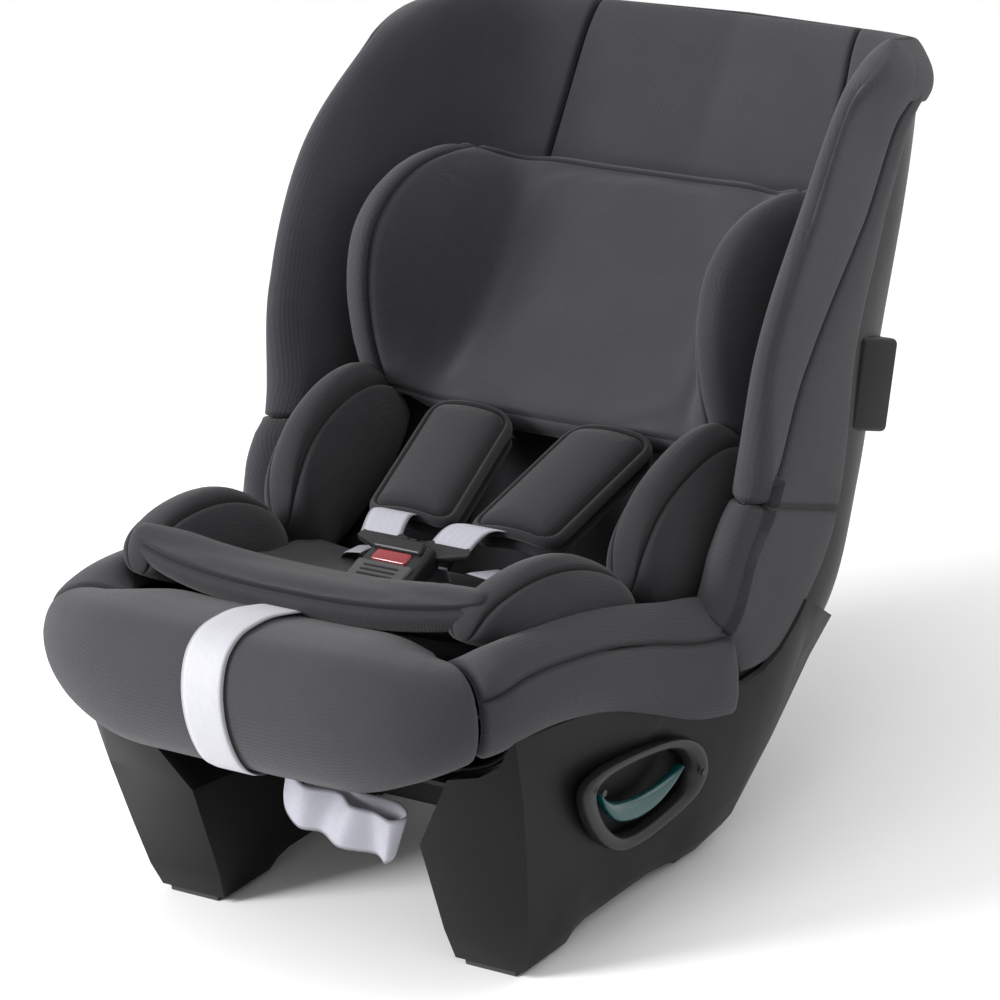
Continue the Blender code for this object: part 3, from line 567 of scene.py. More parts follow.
def padded_sheet(
    name, place, columns, rows, thick, stuff, out, seams_a=(), seams_b=(), roll=None, puff=None, groove=None
):
    """A padded or woven piece: place(a, b) is its visible face, and its other face lies thick behind it.

    Its edges are rolled, it swells between its borders and seams, and it pulls in at the seams. out is a
    direction, or a point's function, that the visible face looks towards.
    """
    puff = sizes().puff if puff is None else puff
    groove = sizes().groove if groove is None else groove
    roll = thick * 0.5 if roll is None else roll
    face = [[place(a, b) for a in columns] for b in rows]
    wide, high = len(columns), len(rows)
    across = [lengths(row) for row in face]
    along = [lengths([face[j][i] for j in range(high)]) for i in range(wide)]
    marks_a = [min(range(wide), key=lambda i: abs(columns[i] - s)) for s in seams_a]
    marks_b = [min(range(high), key=lambda j: abs(rows[j] - s)) for s in seams_b]
    front, back, seam = [], [], []
    for j in range(high):
        for i in range(wide):
            step_a = face[j][min(i + 1, wide - 1)] - face[j][max(i - 1, 0)]
            step_b = face[min(j + 1, high - 1)][i] - face[max(j - 1, 0)][i]
            normal = step_a.cross(step_b)
            normal = normal.normalized() if normal.length > 1e-12 else Vector((0.0, 0.0, 1.0))
            edge_a = min(across[j][i], across[j][-1] - across[j][i])
            edge_b = min(along[i][j], along[i][-1] - along[i][j])
            sewn = [edge_a, edge_b]
            sewn += [abs(across[j][i] - across[j][k]) for k in marks_a]
            sewn += [abs(along[i][j] - along[i][k]) for k in marks_b]
            near = min(sewn)
            full = rolled(edge_a, roll) * rolled(edge_b, roll)
            lift = swollen(near, 0.014, puff, groove) * full - thick / 2 * (1.0 - full)
            front.append((face[j][i], normal, lift))
            back.append((face[j][i], normal, -thick + thick / 2 * (1.0 - full)))
            # the distance to the nearest seam or border, kept in the seam attribute, from which the knit
            # paints shade
            seam.append(near)
    flip = sum(n.dot(out(p) if callable(out) else Vector(out)) for p, n, _ in front) < 0.0
    sign = -1.0 if flip else 1.0
    bm = bmesh.new()
    layer = bm.verts.layers.float.new("seam")
    cloth = bm.loops.layers.uv.new("Cloth")
    grids, spots = [], {}
    for side in (front, back):
        verts = []
        for k, (point, normal, lift) in enumerate(side):
            vert = bm.verts.new(point + normal * lift * sign)
            vert[layer] = seam[k]
            spots[vert] = (across[k // wide][k % wide], along[k % wide][k // wide])
            verts.append(vert)
        grids.append(verts)
    faces = []
    for j in range(high - 1):
        for i in range(wide - 1):
            k = j * wide + i
            ring = (k, k + 1, k + wide + 1, k + wide)
            faces.append(bm.faces.new([grids[0][n] for n in (reversed(ring) if flip else ring)]))
            faces.append(bm.faces.new([grids[1][n] for n in (ring if flip else reversed(ring))]))
    border = list(range(wide)) + [j * wide + wide - 1 for j in range(1, high)]
    border += [(high - 1) * wide + i for i in range(wide - 2, -1, -1)]
    border += [j * wide for j in range(high - 2, 0, -1)]
    for a, b in zip(border, border[1:] + border[:1]):
        ring = (grids[0][b], grids[0][a], grids[1][a], grids[1][b])
        faces.append(bm.faces.new(list(reversed(ring)) if flip else ring))
    lay(faces, cloth, spots)
    weld(bm)
    return new_piece(name, bm, stuff, shift=True)


PRESSURE = 4.0
SWELL_FRAMES = 14
HELD = 0.0022  # how far from a seam the cloth is held


def inflate(obj, cap):
    """Swells a closed padded piece as cloth, held along its seams, by no more than cap."""
    before = [v.co.copy() for v in obj.data.vertices]
    sewn = [value.value for value in obj.data.attributes["seam"].data]
    pins = obj.vertex_groups.new(name="sewn")
    for k, distance in enumerate(sewn):
        if distance < HELD:
            pins.add([k], 1.0, "REPLACE")
    cloth = obj.modifiers.new("Cloth", "CLOTH")
    cloth.settings.quality = 4
    cloth.settings.mass = 0.2
    cloth.settings.tension_stiffness = 25.0
    cloth.settings.compression_stiffness = 25.0
    cloth.settings.bending_stiffness = 0.6
    cloth.settings.vertex_group_mass = "sewn"
    cloth.settings.use_pressure = True
    cloth.settings.uniform_pressure_force = PRESSURE
    cloth.settings.effector_weights.gravity = 0.0
    cloth.collision_settings.use_collision = False
    scene = bpy.context.scene
    for number in range(1, SWELL_FRAMES + 1):
        scene.frame_set(number)
    shaped = obj.evaluated_get(bpy.context.evaluated_depsgraph_get()).data
    after = [v.co.copy() for v in shaped.vertices]
    obj.modifiers.remove(cloth)
    for vert, old, new in zip(obj.data.vertices, before, after):
        move = new - old
        if move.length > cap:
            move = move.normalized() * cap
        vert.co = old + move
    obj.vertex_groups.remove(pins)
    scene.frame_set(1)
    obj.data.update()


def on_body(obj, body, slot, *nodes):
    """Puts a piece on its body, in place of the nodes that it stands for."""
    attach(obj, body)
    if nodes:
        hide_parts(*nodes)


def finish_soft(obj, body, slot, fill, *nodes, cap=None):
    """Swells a padded piece by up to cap, if it has one, and puts it on its body. Its fill is not used;
    webbing passes none.
    """
    if cap:
        inflate(obj, cap)
    on_body(obj, body, slot, *nodes)


ROUND = 0.024  # metres of surface for each radian round a bolster, and for each step along it


def lobe(name, tops, feet, middle, side):
    """A stuffed bolster between a top line and a foot line (y, z), about its middle (x)."""
    puff, groove, last = sizes().puff, sizes().groove, len(tops) - 1
    half, seams = 0.0200, (0.95, 2.19)
    middle = [(x, 0.0) for x in middle]
    turns = spaced(0.0, math.tau, 56, seams, ROUND)[:-1]
    places = [last * (0.5 - 0.5 * math.cos(math.pi * k / 46)) for k in range(47)]
    bm = bmesh.new()
    layer = bm.verts.layers.float.new("seam")
    cloth = bm.loops.layers.uv.new("Cloth")
    rings, spots = [], {}
    for place in places:
        full = rolled(min(place, last - place), 1.5)
        high, low = curve(tops, place), curve(feet, place)
        centre = Vector((curve(middle, place).x, *((high + low) / 2)))
        up = Vector((0.0, *((high - low) / 2))) * (0.30 + 0.70 * full if full else 0.0)
        across = Vector((half, 0.0, 0.0)) * full
        ring = []
        for turn in turns:
            near = min(abs(turn - s) for s in seams) * ROUND
            swell = 1.0 + swollen(near, 0.012, puff, groove) / half
            c, s = math.cos(turn), math.sin(turn)
            c, s = math.copysign(abs(c) ** 0.75, c), math.copysign(abs(s) ** 0.75, s)
            point = centre + (across * c + up * s) * swell
            vert = bm.verts.new((point.x * side, point.y + SHIFT_Y, point.z))
            # the seam distance, from which the knit paints shade; the bolster's tapered ends get none
            vert[layer] = near if full > 0.3 else 0.02
            spots[vert] = (turn * 0.028, place * ROUND)
            ring.append(vert)
        rings.append(ring)
    lay(skin(bm, rings), cloth, spots)
    weld(bm)
    bmesh.ops.recalc_face_normals(bm, faces=bm.faces)
    look_out(bm)
    return new_piece(name, bm, "insert knit")


# ---------------------------------------------------------------- covers

WING_EDGE = ((0.30, 0.736, 0.99), (0.367, 0.675, 0.99), (0.444, 0.665, 0.985), (0.511, 0.640, 0.975),
             (0.556, 0.640, 0.963), (0.667, 0.645, 0.830), (0.778, 0.640, 0.735), (0.889, 0.610, 0.680),
             (1.05, 0.610, 0.700))
RIM_REACH = ((0.30, 1.035), (0.50, 1.030), (0.56, 1.010), (0.667, 0.985), (0.80, 0.985), (0.900, 0.985),
             (0.945, 0.965), (0.975, 0.925), (1.05, 0.820))


def rim_path(v, inner):
    """The visible way over the rim at v, as (u, t) points: outside, over the rim and down the inside."""
    edge, seam = table(WING_EDGE, v)
    reach = table(RIM_REACH, v)[0]
    top = max(reach - 0.020, seam + 0.016)
    path = [(edge, -0.035), (edge * 0.6 + seam * 0.4, -0.045), (seam, -0.045)]
    path += [(seam * 0.5 + top * 0.5, -0.035), (top, -0.01), (max(reach, top + 0.012), 0.12)]
    path += [(reach + 0.008, 0.30), (reach, 0.52), (reach - 0.030, 0.76)]
    low = reach - 0.080
    path += [(low, 0.95)] + [(low + (0.50 - low) * k / 5.0, 1.0) for k in range(1, 6)]
    return path + [(inner, 1.0)]


SEAM_PLACE = 2.0  # the ridge seam's place among rim_path's points


def over_top(u, v, t):
    """Brings both faces together where the cover rolls over the back's top, and fills its rear corners."""
    share = min(max((v - 0.915) / 0.085, 0.0), 1.0)
    corner = math.exp(-(((v - 0.935) / 0.040) ** 2)) * math.exp(-(((abs(u) - 0.80) / 0.26) ** 2))
    full = t - 0.75 * corner * max(1.0 - 2.0 * max(t, 0.0), 0.0)
    return 0.46 + (full - 0.46) * math.sqrt(max(1.0 - share * share, 0.0))


def rim_face(side, inner):
    """The visible face of a cover that goes over one side's rim and ends inside at inner."""

    def place(a, v):
        cells = rim_path(v, inner)
        u, t = curve(cells, a)
        return bucket(side * u, v, over_top(u, v, t))

    return place


class SEAT_OT_wings(bpy.types.Operator):
    """Make the wings' covers, from the hips over the rim to the top of the back"""

    bl_idname = "seat.wings"
    bl_label = "Wing covers"

    def execute(self, context):
        for side, hand in SIDES:
            columns = spaced(0.0, 15.0, 60, (SEAM_PLACE,), 0.022)
            rows = spaced(0.5315, 0.998, 60, (), 0.62)
            face, middle = rim_face(side, 0.394), Vector((side * 0.2, 0.36, 0.36))
            wing = padded_sheet(
                f"wing_cover_{hand}", face, columns, rows, 0.010, "cover knit", lambda p: p - middle,
                seams_a=(SEAM_PLACE,), roll=0.0026,
            )
            finish_soft(wing, "seat", "cover_knit", 0.7, f"wing_cover_{hand}")
            columns = spaced(0.0, 14.0, 52, (), 0.022)
            rows = spaced(0.3010, 0.5308, 30, (), 0.55)
            face, middle = rim_face(side, 0.45), Vector((side * 0.205, 0.20, 0.10))
            hip = padded_sheet(
                f"hip_cover_{hand}", face, columns, rows, 0.010, "cover knit", lambda p: p - middle,
                roll=0.0026,
            )
            finish_soft(hip, "seat", "cover_knit", 0.7, f"hip_cover_{hand}")
        return {"FINISHED"}


class SEAT_OT_back(bpy.types.Operator):
    """Make the back's and the seat's middle covers"""

    bl_idname = "seat.back"
    bl_label = "Back covers"

    def execute(self, context):
        def face(u, v):
            return bucket(u, v, over_top(u, v, 1.0))

        def behind(a, v):
            u = -0.84 + 1.68 * a
            return bucket(u, v, over_top(u, v, -0.05))

        leaning = (0.0, -1.0, 0.7)
        columns = spaced(-0.3925, 0.3925, 40, (), 0.30)
        rows = spaced(0.533, 0.998, 60, (), 0.62)
        back = padded_sheet(
            "back_cover", face, columns, rows, 0.012, "cover knit", leaning, roll=0.0026, puff=0.001
        )
        rails = ("headrest_rail_left", "headrest_rail_right")
        finish_soft(back, "seat", "cover_knit", 0.6, "back_cover", *rails)
        rows = spaced(0.36, 0.529, 16, (), 0.55)
        lumbar = padded_sheet("lumbar_cover", face, columns, rows, 0.012, "cover knit", leaning)
        finish_soft(lumbar, "seat", "cover_knit", 0.6, "lumbar_cover")
        columns = spaced(-0.60, 0.60, 40, (), 0.28)
        rows = spaced(0.02, 0.356, 24, (), 0.50)
        seat = padded_sheet("seat_cover", face, columns, rows, 0.012, "cover knit", (0.0, 0.0, 1.0))
        finish_soft(seat, "seat", "cover_knit", 0.6, "seat_cover")
        columns = spaced(0.0, 1.0, 60, (), 0.62)
        rows = spaced(0.900, 0.999, 18, (), 0.60)
        top = padded_sheet("top_cover", behind, columns, rows, 0.007, "cover knit", (0.0, 1.0, 0.3))
        finish_soft(top, "seat", "cover_knit", 0.6, "top_cover")
        return {"FINISHED"}


# The rim roll round the seat's front and sides. Each row is a place on its plan line (x, y) and its
# section from the tucked outer edge, over the top, to the inside: (outward, z).
ROLL_PLAN = ((0.0, -0.1680), (0.050, -0.1680), (0.098, -0.1655), (0.132, -0.1575), (0.1500, -0.1430),
             (0.1575, -0.1150), (0.1600, -0.0750), (0.1625, -0.0250), (0.1670, 0.0250), (0.1735, 0.0700),
             (0.1790, 0.1090))
FRONT = (
    (0.004, 0.1725), (0.022, 0.1675), (0.040, 0.1780), (0.0510, 0.1960), (0.0570, 0.2180),
    (0.0570, 0.2400), (0.0500, 0.2590), (0.0360, 0.2690), (0.0180, 0.2710), (-0.0040, 0.2690),
    (-0.0400, 0.2590),
)
CORNER = (
    (0.006, 0.1960), (0.022, 0.1920), (0.0330, 0.1960), (0.0405, 0.2060), (0.0445, 0.2190),
    (0.0445, 0.2340), (0.0390, 0.2480), (0.0280, 0.2560), (0.0140, 0.2585), (-0.0030, 0.2550),
    (-0.0280, 0.2450),
)
SIDE_SHAPE = ((0.030, 0.0), (0.035, 0.0), (0.0385, 0.07), (0.0408, 0.20), (0.0415, 0.41), (0.0395, 0.64),
              (0.035, 0.80), (0.027, 0.93), (0.014, 1.0), (0.001, 0.93), (-0.010, 0.74))
SIDE_HEIGHTS = (
    (0.2010, 0.2600), (0.1960, 0.2560), (0.1830, 0.2480), (0.1620, 0.2360), (0.1420, 0.2230),
    (0.1330, 0.2160),
)


def roll_sections():
    """The roll's section at each point of its plan line."""
    middle = tuple(((a + c) / 2, (b + d) / 2) for (a, b), (c, d) in zip(FRONT, CORNER))
    rows = [FRONT, FRONT, tuple((a * 0.97, b) for a, b in FRONT), middle, CORNER]
    for low, high in SIDE_HEIGHTS:
        rows.append(tuple((o, low + (high - low) * s) for o, s in SIDE_SHAPE))
    return rows


SECTIONS = roll_sections()


def roll_face(a, b):
    """The rim roll's surface: a runs over the section, and b along the plan line, negative on the right."""
    side = -1.0 if b < 0.0 else 1.0
    place = min(abs(b), len(ROLL_PLAN) - 1.0)
    x, y = curve(ROLL_PLAN, place)
    ahead = curve(ROLL_PLAN, min(place + 0.05, len(ROLL_PLAN) - 1.0))
    behind = curve(ROLL_PLAN, max(place - 0.05, 0.0))
    along = (ahead - behind).normalized()
    i = min(int(place), len(SECTIONS) - 2)
    rows = [curve(SECTIONS[min(max(k, 0), len(SECTIONS) - 1)], a) for k in (i - 1, i, i + 1, i + 2)]
    out, z = curve(rows, 1.0 + place - i) if 0 < i else rows[1].lerp(rows[2], place - i)
    return Vector((side * (x + along.y * out), y - along.x * out, z))


RIM_SEAM = 5.45  # the side rim's seam, among its section's points


class SEAT_OT_rim(bpy.types.Operator):
    """Make the front roll and the padded side rims, with their seams"""

    bl_idname = "seat.rim"
    bl_label = "Front and side rims"

    def execute(self, context):
        columns = spaced(0.0, 10.0, 60, (), 0.020)
        rows = spaced(-3.98, 3.98, 90, (), 0.045)

        def outward(point):
            return point - Vector((point.x * 0.85, -0.17, 0.215))

        lip = padded_sheet(
            "front_lip_cover", roll_face, columns, rows, 0.012, "cover knit", outward, puff=0.0008
        )
        finish_soft(lip, "seat", "cover_knit", 0.7, "front_lip_cover")
        for side, hand in SIDES:
            rows = spaced(4.02, 10.0, 64, (), 0.043)
            columns = spaced(0.0, 10.0, 60, (RIM_SEAM,), 0.014)
            rim = padded_sheet(
                f"side_cover_{hand}", lambda a, b: roll_face(a, side * b), columns, rows, 0.009,
                "cover knit",
                lambda p: p - Vector((side * 0.175, p.y, 0.190)), seams_a=(RIM_SEAM,),
            )
            finish_soft(rim, "seat", "cover_knit", 0.7, f"side_cover_{hand}")
        return {"FINISHED"}


# ---------------------------------------------------------------- the newborn insert


INSERT_WAY = (
    (-0.122, 0.254), (-0.131, 0.260), (-0.134, 0.270), (-0.126, 0.280), (-0.110, 0.281),
    (-0.085, 0.268), (-0.050, 0.246), (-0.010, 0.227), (0.025, 0.218), (0.060, 0.210), (0.088, 0.207),
)
INSERT_SEAM = 2.45  # the front roll's seam, among INSERT_WAY's points


def insert_face(a, b):
    """The insert's seat: a from its left side (-1) to its right (1), b along INSERT_WAY."""
    y, z = curve(INSERT_WAY, b)
    front = max(1.0 - b / 7.0, 0.0)
    return Vector((a * (0.150 + 0.008 * front), y + 0.036 * front * abs(a) ** 2.5, z + 0.008 * abs(a) ** 3))


class SEAT_OT_insert(bpy.types.Operator):
    """Make the newborn insert: its seat, back, thigh and torso bolsters"""

    bl_idname = "seat.insert"
    bl_label = "Newborn insert"

    def execute(self, context):
        columns = spaced(-1.0, 1.0, 60, (), 0.155)
        rows = spaced(0.0, 10.0, 50, (INSERT_SEAM,), 0.022)
        seat = padded_sheet(
            "insert_seat", insert_face, columns, rows, 0.020, "insert knit",
            lambda p: p - Vector((p.x, -0.105, 0.20)), seams_b=(INSERT_SEAM,), roll=0.008,
        )
        finish_soft(seat, "seat", "insert_knit", 0.6, "insert_seat", cap=0.004)
        seams = (-0.30, 0.30)
        columns = spaced(-0.56, 0.56, 40, seams, 0.28)
        rows = spaced(0.352, 0.545, 22, (), 0.55)
        back = padded_sheet(
            "insert_back", lambda u, v: above(u, v, 0.024), columns, rows, 0.018, "insert knit",
            (0.0, -1.0, 0.7), seams_a=seams,
        )
        finish_soft(back, "seat", "insert_knit", 0.6, "insert_back", cap=0.004)
        for side, hand in SIDES:
            self.thigh(side, f"thigh_bolster_{hand}")
            self.torso(side, f"torso_bolster_{hand}")
        return {"FINISHED"}

    def thigh(self, side, name):
        """The low bolster beside the legs."""
        tops = (
            (-0.124, 0.263), (-0.111, 0.280), (-0.086, 0.289), (-0.050, 0.290), (-0.014, 0.283),
            (0.018, 0.268), (0.044, 0.247), (0.064, 0.218),
        )
        feet = (
            (-0.104, 0.250), (-0.090, 0.244), (-0.070, 0.238), (-0.045, 0.229), (-0.014, 0.219),
            (0.012, 0.211), (0.030, 0.206), (0.044, 0.203),
        )
        middle = (0.140, 0.143, 0.147, 0.149, 0.151, 0.152, 0.154, 0.154)
        piece = lobe(name, tops, feet, middle, side)
        finish_soft(piece, "seat", "insert_knit", 0.8, name, cap=0.005)

    def torso(self, side, name):
        """The tall bolster beside the chest."""
        tops = (
            (0.058, 0.236), (0.066, 0.264), (0.086, 0.290), (0.115, 0.306), (0.150, 0.314),
            (0.182, 0.311), (0.208, 0.294), (0.228, 0.266),
        )
        feet = (
            (0.072, 0.206), (0.084, 0.200), (0.100, 0.197), (0.118, 0.200), (0.140, 0.206),
            (0.162, 0.216), (0.186, 0.232), (0.210, 0.250),
        )
        middle = (0.152, 0.153, 0.155, 0.157, 0.158, 0.158, 0.157, 0.156)
        piece = lobe(name, tops, feet, middle, side)
        finish_soft(piece, "seat", "insert_knit", 0.8, name, cap=0.005)


# ---------------------------------------------------------------- headrest

HEAD_ROWS = ((-0.036, 0.086, 0.076), (-0.024, 0.106, 0.069), (-0.002, 0.134, 0.058), (0.028, 0.159, 0.050),
             (0.062, 0.172, 0.046), (0.092, 0.168, 0.044), (0.118, 0.154, 0.044), (0.138, 0.136, 0.046),
             (0.156, 0.112, 0.049), (0.168, 0.090, 0.052), (0.176, 0.074, 0.052))


def head_face(a, b):
    """The headrest's front: a from its left wing's back (-9) over the tips to its right wing's back (9)."""
    along, tip, middle = curve(HEAD_ROWS, b)
    half = (
        (0.0, middle), (0.045, middle + 0.001), (0.085, middle + 0.006),
        (0.113, middle + 0.2 * (tip - middle)), (0.133, 0.38 * middle + 0.62 * tip),
        (0.146, tip - 0.005), (0.156, tip - 0.001), (0.1655, tip - 0.014),
        (0.1710, 0.5 * (tip + 0.056)), (0.1690, 0.052),
    )
    x, out = curve(half, abs(a))
    return head_point(math.copysign(x, a) if a else 0.0, along + 0.006 * math.cos(a * 0.35) * b / 10.0, out)


PANEL_SIDES = (-5.0, 5.0)  # the front panel's seams, in head_face's a
PANEL_ENDS = (0.6, 9.2)  # and in its b


class SEAT_OT_headrest(bpy.types.Operator):
    """Make the headrest's pad with its sewn front panel"""

    bl_idname = "seat.headrest"
    bl_label = "Headrest"

    def execute(self, context):
        columns = spaced(-9.0, 9.0, 110, PANEL_SIDES, 0.022)
        rows = spaced(0.0, 10.0, 60, PANEL_ENDS, 0.025)

        def out(point):
            return BACK_OUT if abs(point.x) < 0.145 else Vector((math.copysign(1.0, point.x), 0.0, 0.0))

        pad = padded_sheet(
            "headrest_pad", head_face, columns, rows, 0.016, "cover knit", out,
            seams_a=PANEL_SIDES, seams_b=PANEL_ENDS, roll=0.008, puff=0.004,
        )
        finish_soft(pad, "headrest", "cover_knit", 0.75, "headrest_pad", cap=0.004)
        return {"FINISHED"}


# ---------------------------------------------------------------- harness


def rounded(width, height, radius, inset):
    """The points of a rounded rectangle, moved in by inset."""
    radius = max(radius - inset, 0.0004)
    x, y = max(width / 2 - inset, 0.0006), max(height / 2 - inset, 0.0006)
    radius = min(radius, x, y)
    corners = ((1, 1), (-1, 1), (-1, -1), (1, -1))

    def on_arc(corner, angle):
        sx, sy = corners[corner % 4]
        return sx * (x - radius) + radius * math.cos(angle), sy * (y - radius) + radius * math.sin(angle)

    found = []
    for quarter in range(4):
        found += [on_arc(quarter, math.pi / 2 * (quarter + k / 8)) for k in range(9)]
        (ax, ay), (bx, by) = found[-1], on_arc(quarter + 1, math.pi / 2 * (quarter + 1))
        found += [(ax + (bx - ax) * s / 10, ay + (by - ay) * s / 10) for s in range(1, 10)]
    return found


FAR = 0.05  # a seam distance past any effect


def cushion(name, outline, at, profile, stuff, seams=()):
    """A flat pad: rings of its outline at (inset, height) steps, from its back's middle to its front's."""
    bm = bmesh.new()
    layer = bm.verts.layers.float.new("seam")
    cloth = bm.loops.layers.uv.new("Cloth")
    spots, rings = {}, []
    for inset, height in profile:
        # the distance to the pad's seam, from which the knit paints shade; the back rings get none
        near = min([abs(inset - s) for s in seams] + [FAR]) if height > -0.001 else FAR
        ring = []
        for a, b in rounded(*outline, inset):
            vert = bm.verts.new(at(a, b, height))
            vert[layer] = near
            spots[vert] = (a, b)
            ring.append(vert)
        rings.append(ring)
    faces = skin(bm, rings)
    faces.append(bm.faces.new(list(reversed(rings[0]))))
    faces.append(bm.faces.new(rings[-1]))
    lay(faces, cloth, spots)
    look_out(bm)
    return new_piece(name, bm, stuff, shift=True)


def ribbon(name, points, across, width, thick, stuff, out, steps):
    """A strip of webbing along points, its width lying along the across vectors."""

    def place(a, b):
        return curve(points, b) + curve(across, b).normalized() * a

    columns = [width * (k / 8 - 0.5) for k in range(9)]
    rows = [(len(points) - 1) * k / steps for k in range(steps + 1)]
    return padded_sheet(name, place, columns, rows, thick, stuff, out, roll=thick / 2, puff=0.0, groove=0.0)


def buckle_at(x, along, rise):
    """A point by the buckle: across, along the way that the tongues pull, and out of its face."""
    return BUCKLE + Vector((x, 0.0, 0.0)) + PULL * along + RISE * rise


def chest_at(side, x, y, height):
    """A point of a chest pad's plane: x from its own middle, y up the child's chest."""
    up = y - 0.128
    middle = 0.060 if side > 0.0 else -0.048 - 0.26 * up
    normal = Vector((0.0, -0.205, 0.979))
    return Vector((middle + x, y, 0.2685 + 0.21 * up - 4.2 * x * x)) + normal * height


# The pads' sections: (inset, height) steps from the middle of the back to the middle of the front.
CHEST_PAD = ((0.034, 0.0030), (0.018, 0.0030), (0.009, 0.0032), (0.0046, 0.0034), (0.0020, 0.0040),
             (0.0003, 0.0062), (0.0, 0.0085), (0.0008, 0.0108), (0.0024, 0.0122), (0.0040, 0.0122),
             (0.0056, 0.0108), (0.0064, 0.0096), (0.0072, 0.0108), (0.0092, 0.0128), (0.0130, 0.0144),
             (0.0190, 0.0154), (0.0260, 0.0157), (0.0340, 0.0158))
CHEST_LINING = ((0.034, -0.0075), (0.016, -0.0078), (0.005, -0.0080), (0.0016, -0.0072), (0.0, -0.0052),
                (0.0, -0.0020), (0.0012, -0.0006), (0.005, 0.0), (0.034, 0.0))
CROTCH_PAD = ((0.028, -0.004), (0.006, -0.0042), (0.0014, -0.0036), (0.0, -0.001), (0.0006, 0.0016),
              (0.0022, 0.0026), (0.0036, 0.0022), (0.0046, 0.0012), (0.0056, 0.0022), (0.009, 0.0038),
              (0.016, 0.0046), (0.028, 0.0048))
PAD_MIDDLE = 0.1270  # the chest pads' middle, in y


class SEAT_OT_harness(bpy.types.Operator):
    """Make the harness: its webbing, chest pads and crotch pad"""

    bl_idname = "seat.harness"
    bl_label = "Harness"

    def execute(self, context):
        for side, hand in SIDES:
            self.shoulder_strap(side, hand)
            self.chest_pad(side, hand)
            self.lap_strap(side, hand)
        self.lip_strap()
        self.crotch_pad()
        return {"FINISHED"}

    def shoulder_strap(self, side, hand):
        """From the tongue, under the chest pad and up behind the headrest."""
        name = f"shoulder_strap_{hand}"
        way = [buckle_at(side * 0.030, 0.018, 0.0050), buckle_at(side * 0.036, 0.044, 0.0060)]
        way += [chest_at(side, 0.0, y, 0.0008) for y in (0.070, 0.105, 0.150, 0.185)]
        way += [Vector((side * 0.0585, 0.201, 0.2740)), Vector((side * 0.0595, 0.213, 0.2640))]
        thick, front = sizes().webbing_thickness, (0.0, -0.3, 1.0)
        strap = ribbon(name, way, [ACROSS] * len(way), 0.036, thick, "silver webbing", front, 90)
        finish_soft(strap, f"harness_{hand}", "silver_webbing", None, name)

    def chest_pad(self, side, hand):
        """The pad over the strap, and its bound lining under the strap."""
        pieces = (
            ("chest_pad", (0.079, 0.146, 0.018), CHEST_PAD, "pad knit", (0.0064,), 0.6),
            ("chest_backing", (0.074, 0.140, 0.016), CHEST_LINING, "binding", (), 0.5),
        )
        for start, outline, section, stuff, seams, fill in pieces:
            name = f"{start}_{hand}"
            pad = cushion(
                name, outline, lambda a, b, h: chest_at(side, a, PAD_MIDDLE + b, h), section, stuff, seams
            )
            finish_soft(pad, f"harness_{hand}", "pad_knit", fill, name)

    def lap_strap(self, side, hand):
        """From the tongue down to the seat's side."""
        name = f"lap_strap_{hand}"
        way = [(0.050, 0.034, 0.2385), (0.070, 0.040, 0.2330), (0.092, 0.062, 0.2170), (0.110, 0.090, 0.203)]
        way = [Vector((side * x, y, z)) for x, y, z in way]
        lie = [Vector((0.25 * side, 0.9, -0.2))] * len(way)
        thick = sizes().webbing_thickness
        strap = ribbon(name, way, lie, 0.032, thick, "silver webbing", (0.0, -0.2, 1.0), 40)
        finish_soft(strap, "seat", "silver_webbing", None, name)

    def lip_strap(self):
        """The webbing loop round the front roll."""
        count = 24
        around = []
        for k in range(count):
            spot = roll_face(0.4 + 9.4 * k / (count - 1), 0.0)
            ahead = roll_face(0.45 + 9.4 * k / (count - 1), 0.0)
            step = (ahead - spot).normalized()
            around.append(spot + Vector((0.0, step.z, -step.y)) * -0.0040)
        loop = ribbon(
            "lip_strap", around, [ACROSS] * count, 0.0365, 0.0016, "light webbing",
            lambda p: p - Vector((p.x, -0.19, 0.22)), 92,
        )
        finish_soft(loop, "seat", "light_webbing", None, "lip_strap")

    def crotch_pad(self):
        """The pad under the buckle."""
        turn = Matrix.Rotation(-0.30, 3, "X")

        def at(a, b, h):
            return Vector((0.0, 0.003, 0.2160)) + turn @ Vector((a, b, h - 2.5 * a * a))

        pad = cushion("crotch_pad", (0.084, 0.062, 0.016), at, CROTCH_PAD, "pad knit", (0.0046,))
        finish_soft(pad, "seat", "pad_knit", 0.5, "crotch_pad")


# ---------------------------------------------------------------- moulded pieces


def block(name, size, bevel, place, stuff, segments=4, taper=1.0):
    """A moulded block with rounded edges, its far end taper times as wide."""
    deselect()
    bpy.ops.mesh.primitive_cube_add(size=1.0)
    obj = bpy.context.active_object
    obj.name = obj.data.name = fresh(name)
    for vert in obj.data.vertices:
        vert.co.x *= size[0] * (taper if vert.co.y > 0.0 else 1.0)
        vert.co.y *= size[1]
        vert.co.z *= size[2]
    bpy.ops.object.mode_set(mode="EDIT")
    bpy.ops.mesh.select_all(action="SELECT")
    bpy.ops.mesh.bevel(offset=bevel, segments=segments, affect="EDGES")
    bpy.ops.object.mode_set(mode="OBJECT")
    bpy.ops.object.shade_smooth_by_angle(angle=math.radians(40.0))
    obj.data.materials.append(bpy.data.materials[stuff])
    obj.matrix_world = SHIFT @ place
    bpy.ops.object.transform_apply(location=True, rotation=True, scale=True)
    return obj


def turned(origin, x, y, z):
    """A place: an origin and three directions."""
    place = Matrix((x, y, z)).transposed().to_4x4()
    place.translation = origin
    return place


def on_buckle(x, along, rise):
    """A place by the buckle, turned as the buckle lies."""
    return turned(buckle_at(x, along, rise), ACROSS, PULL, RISE)


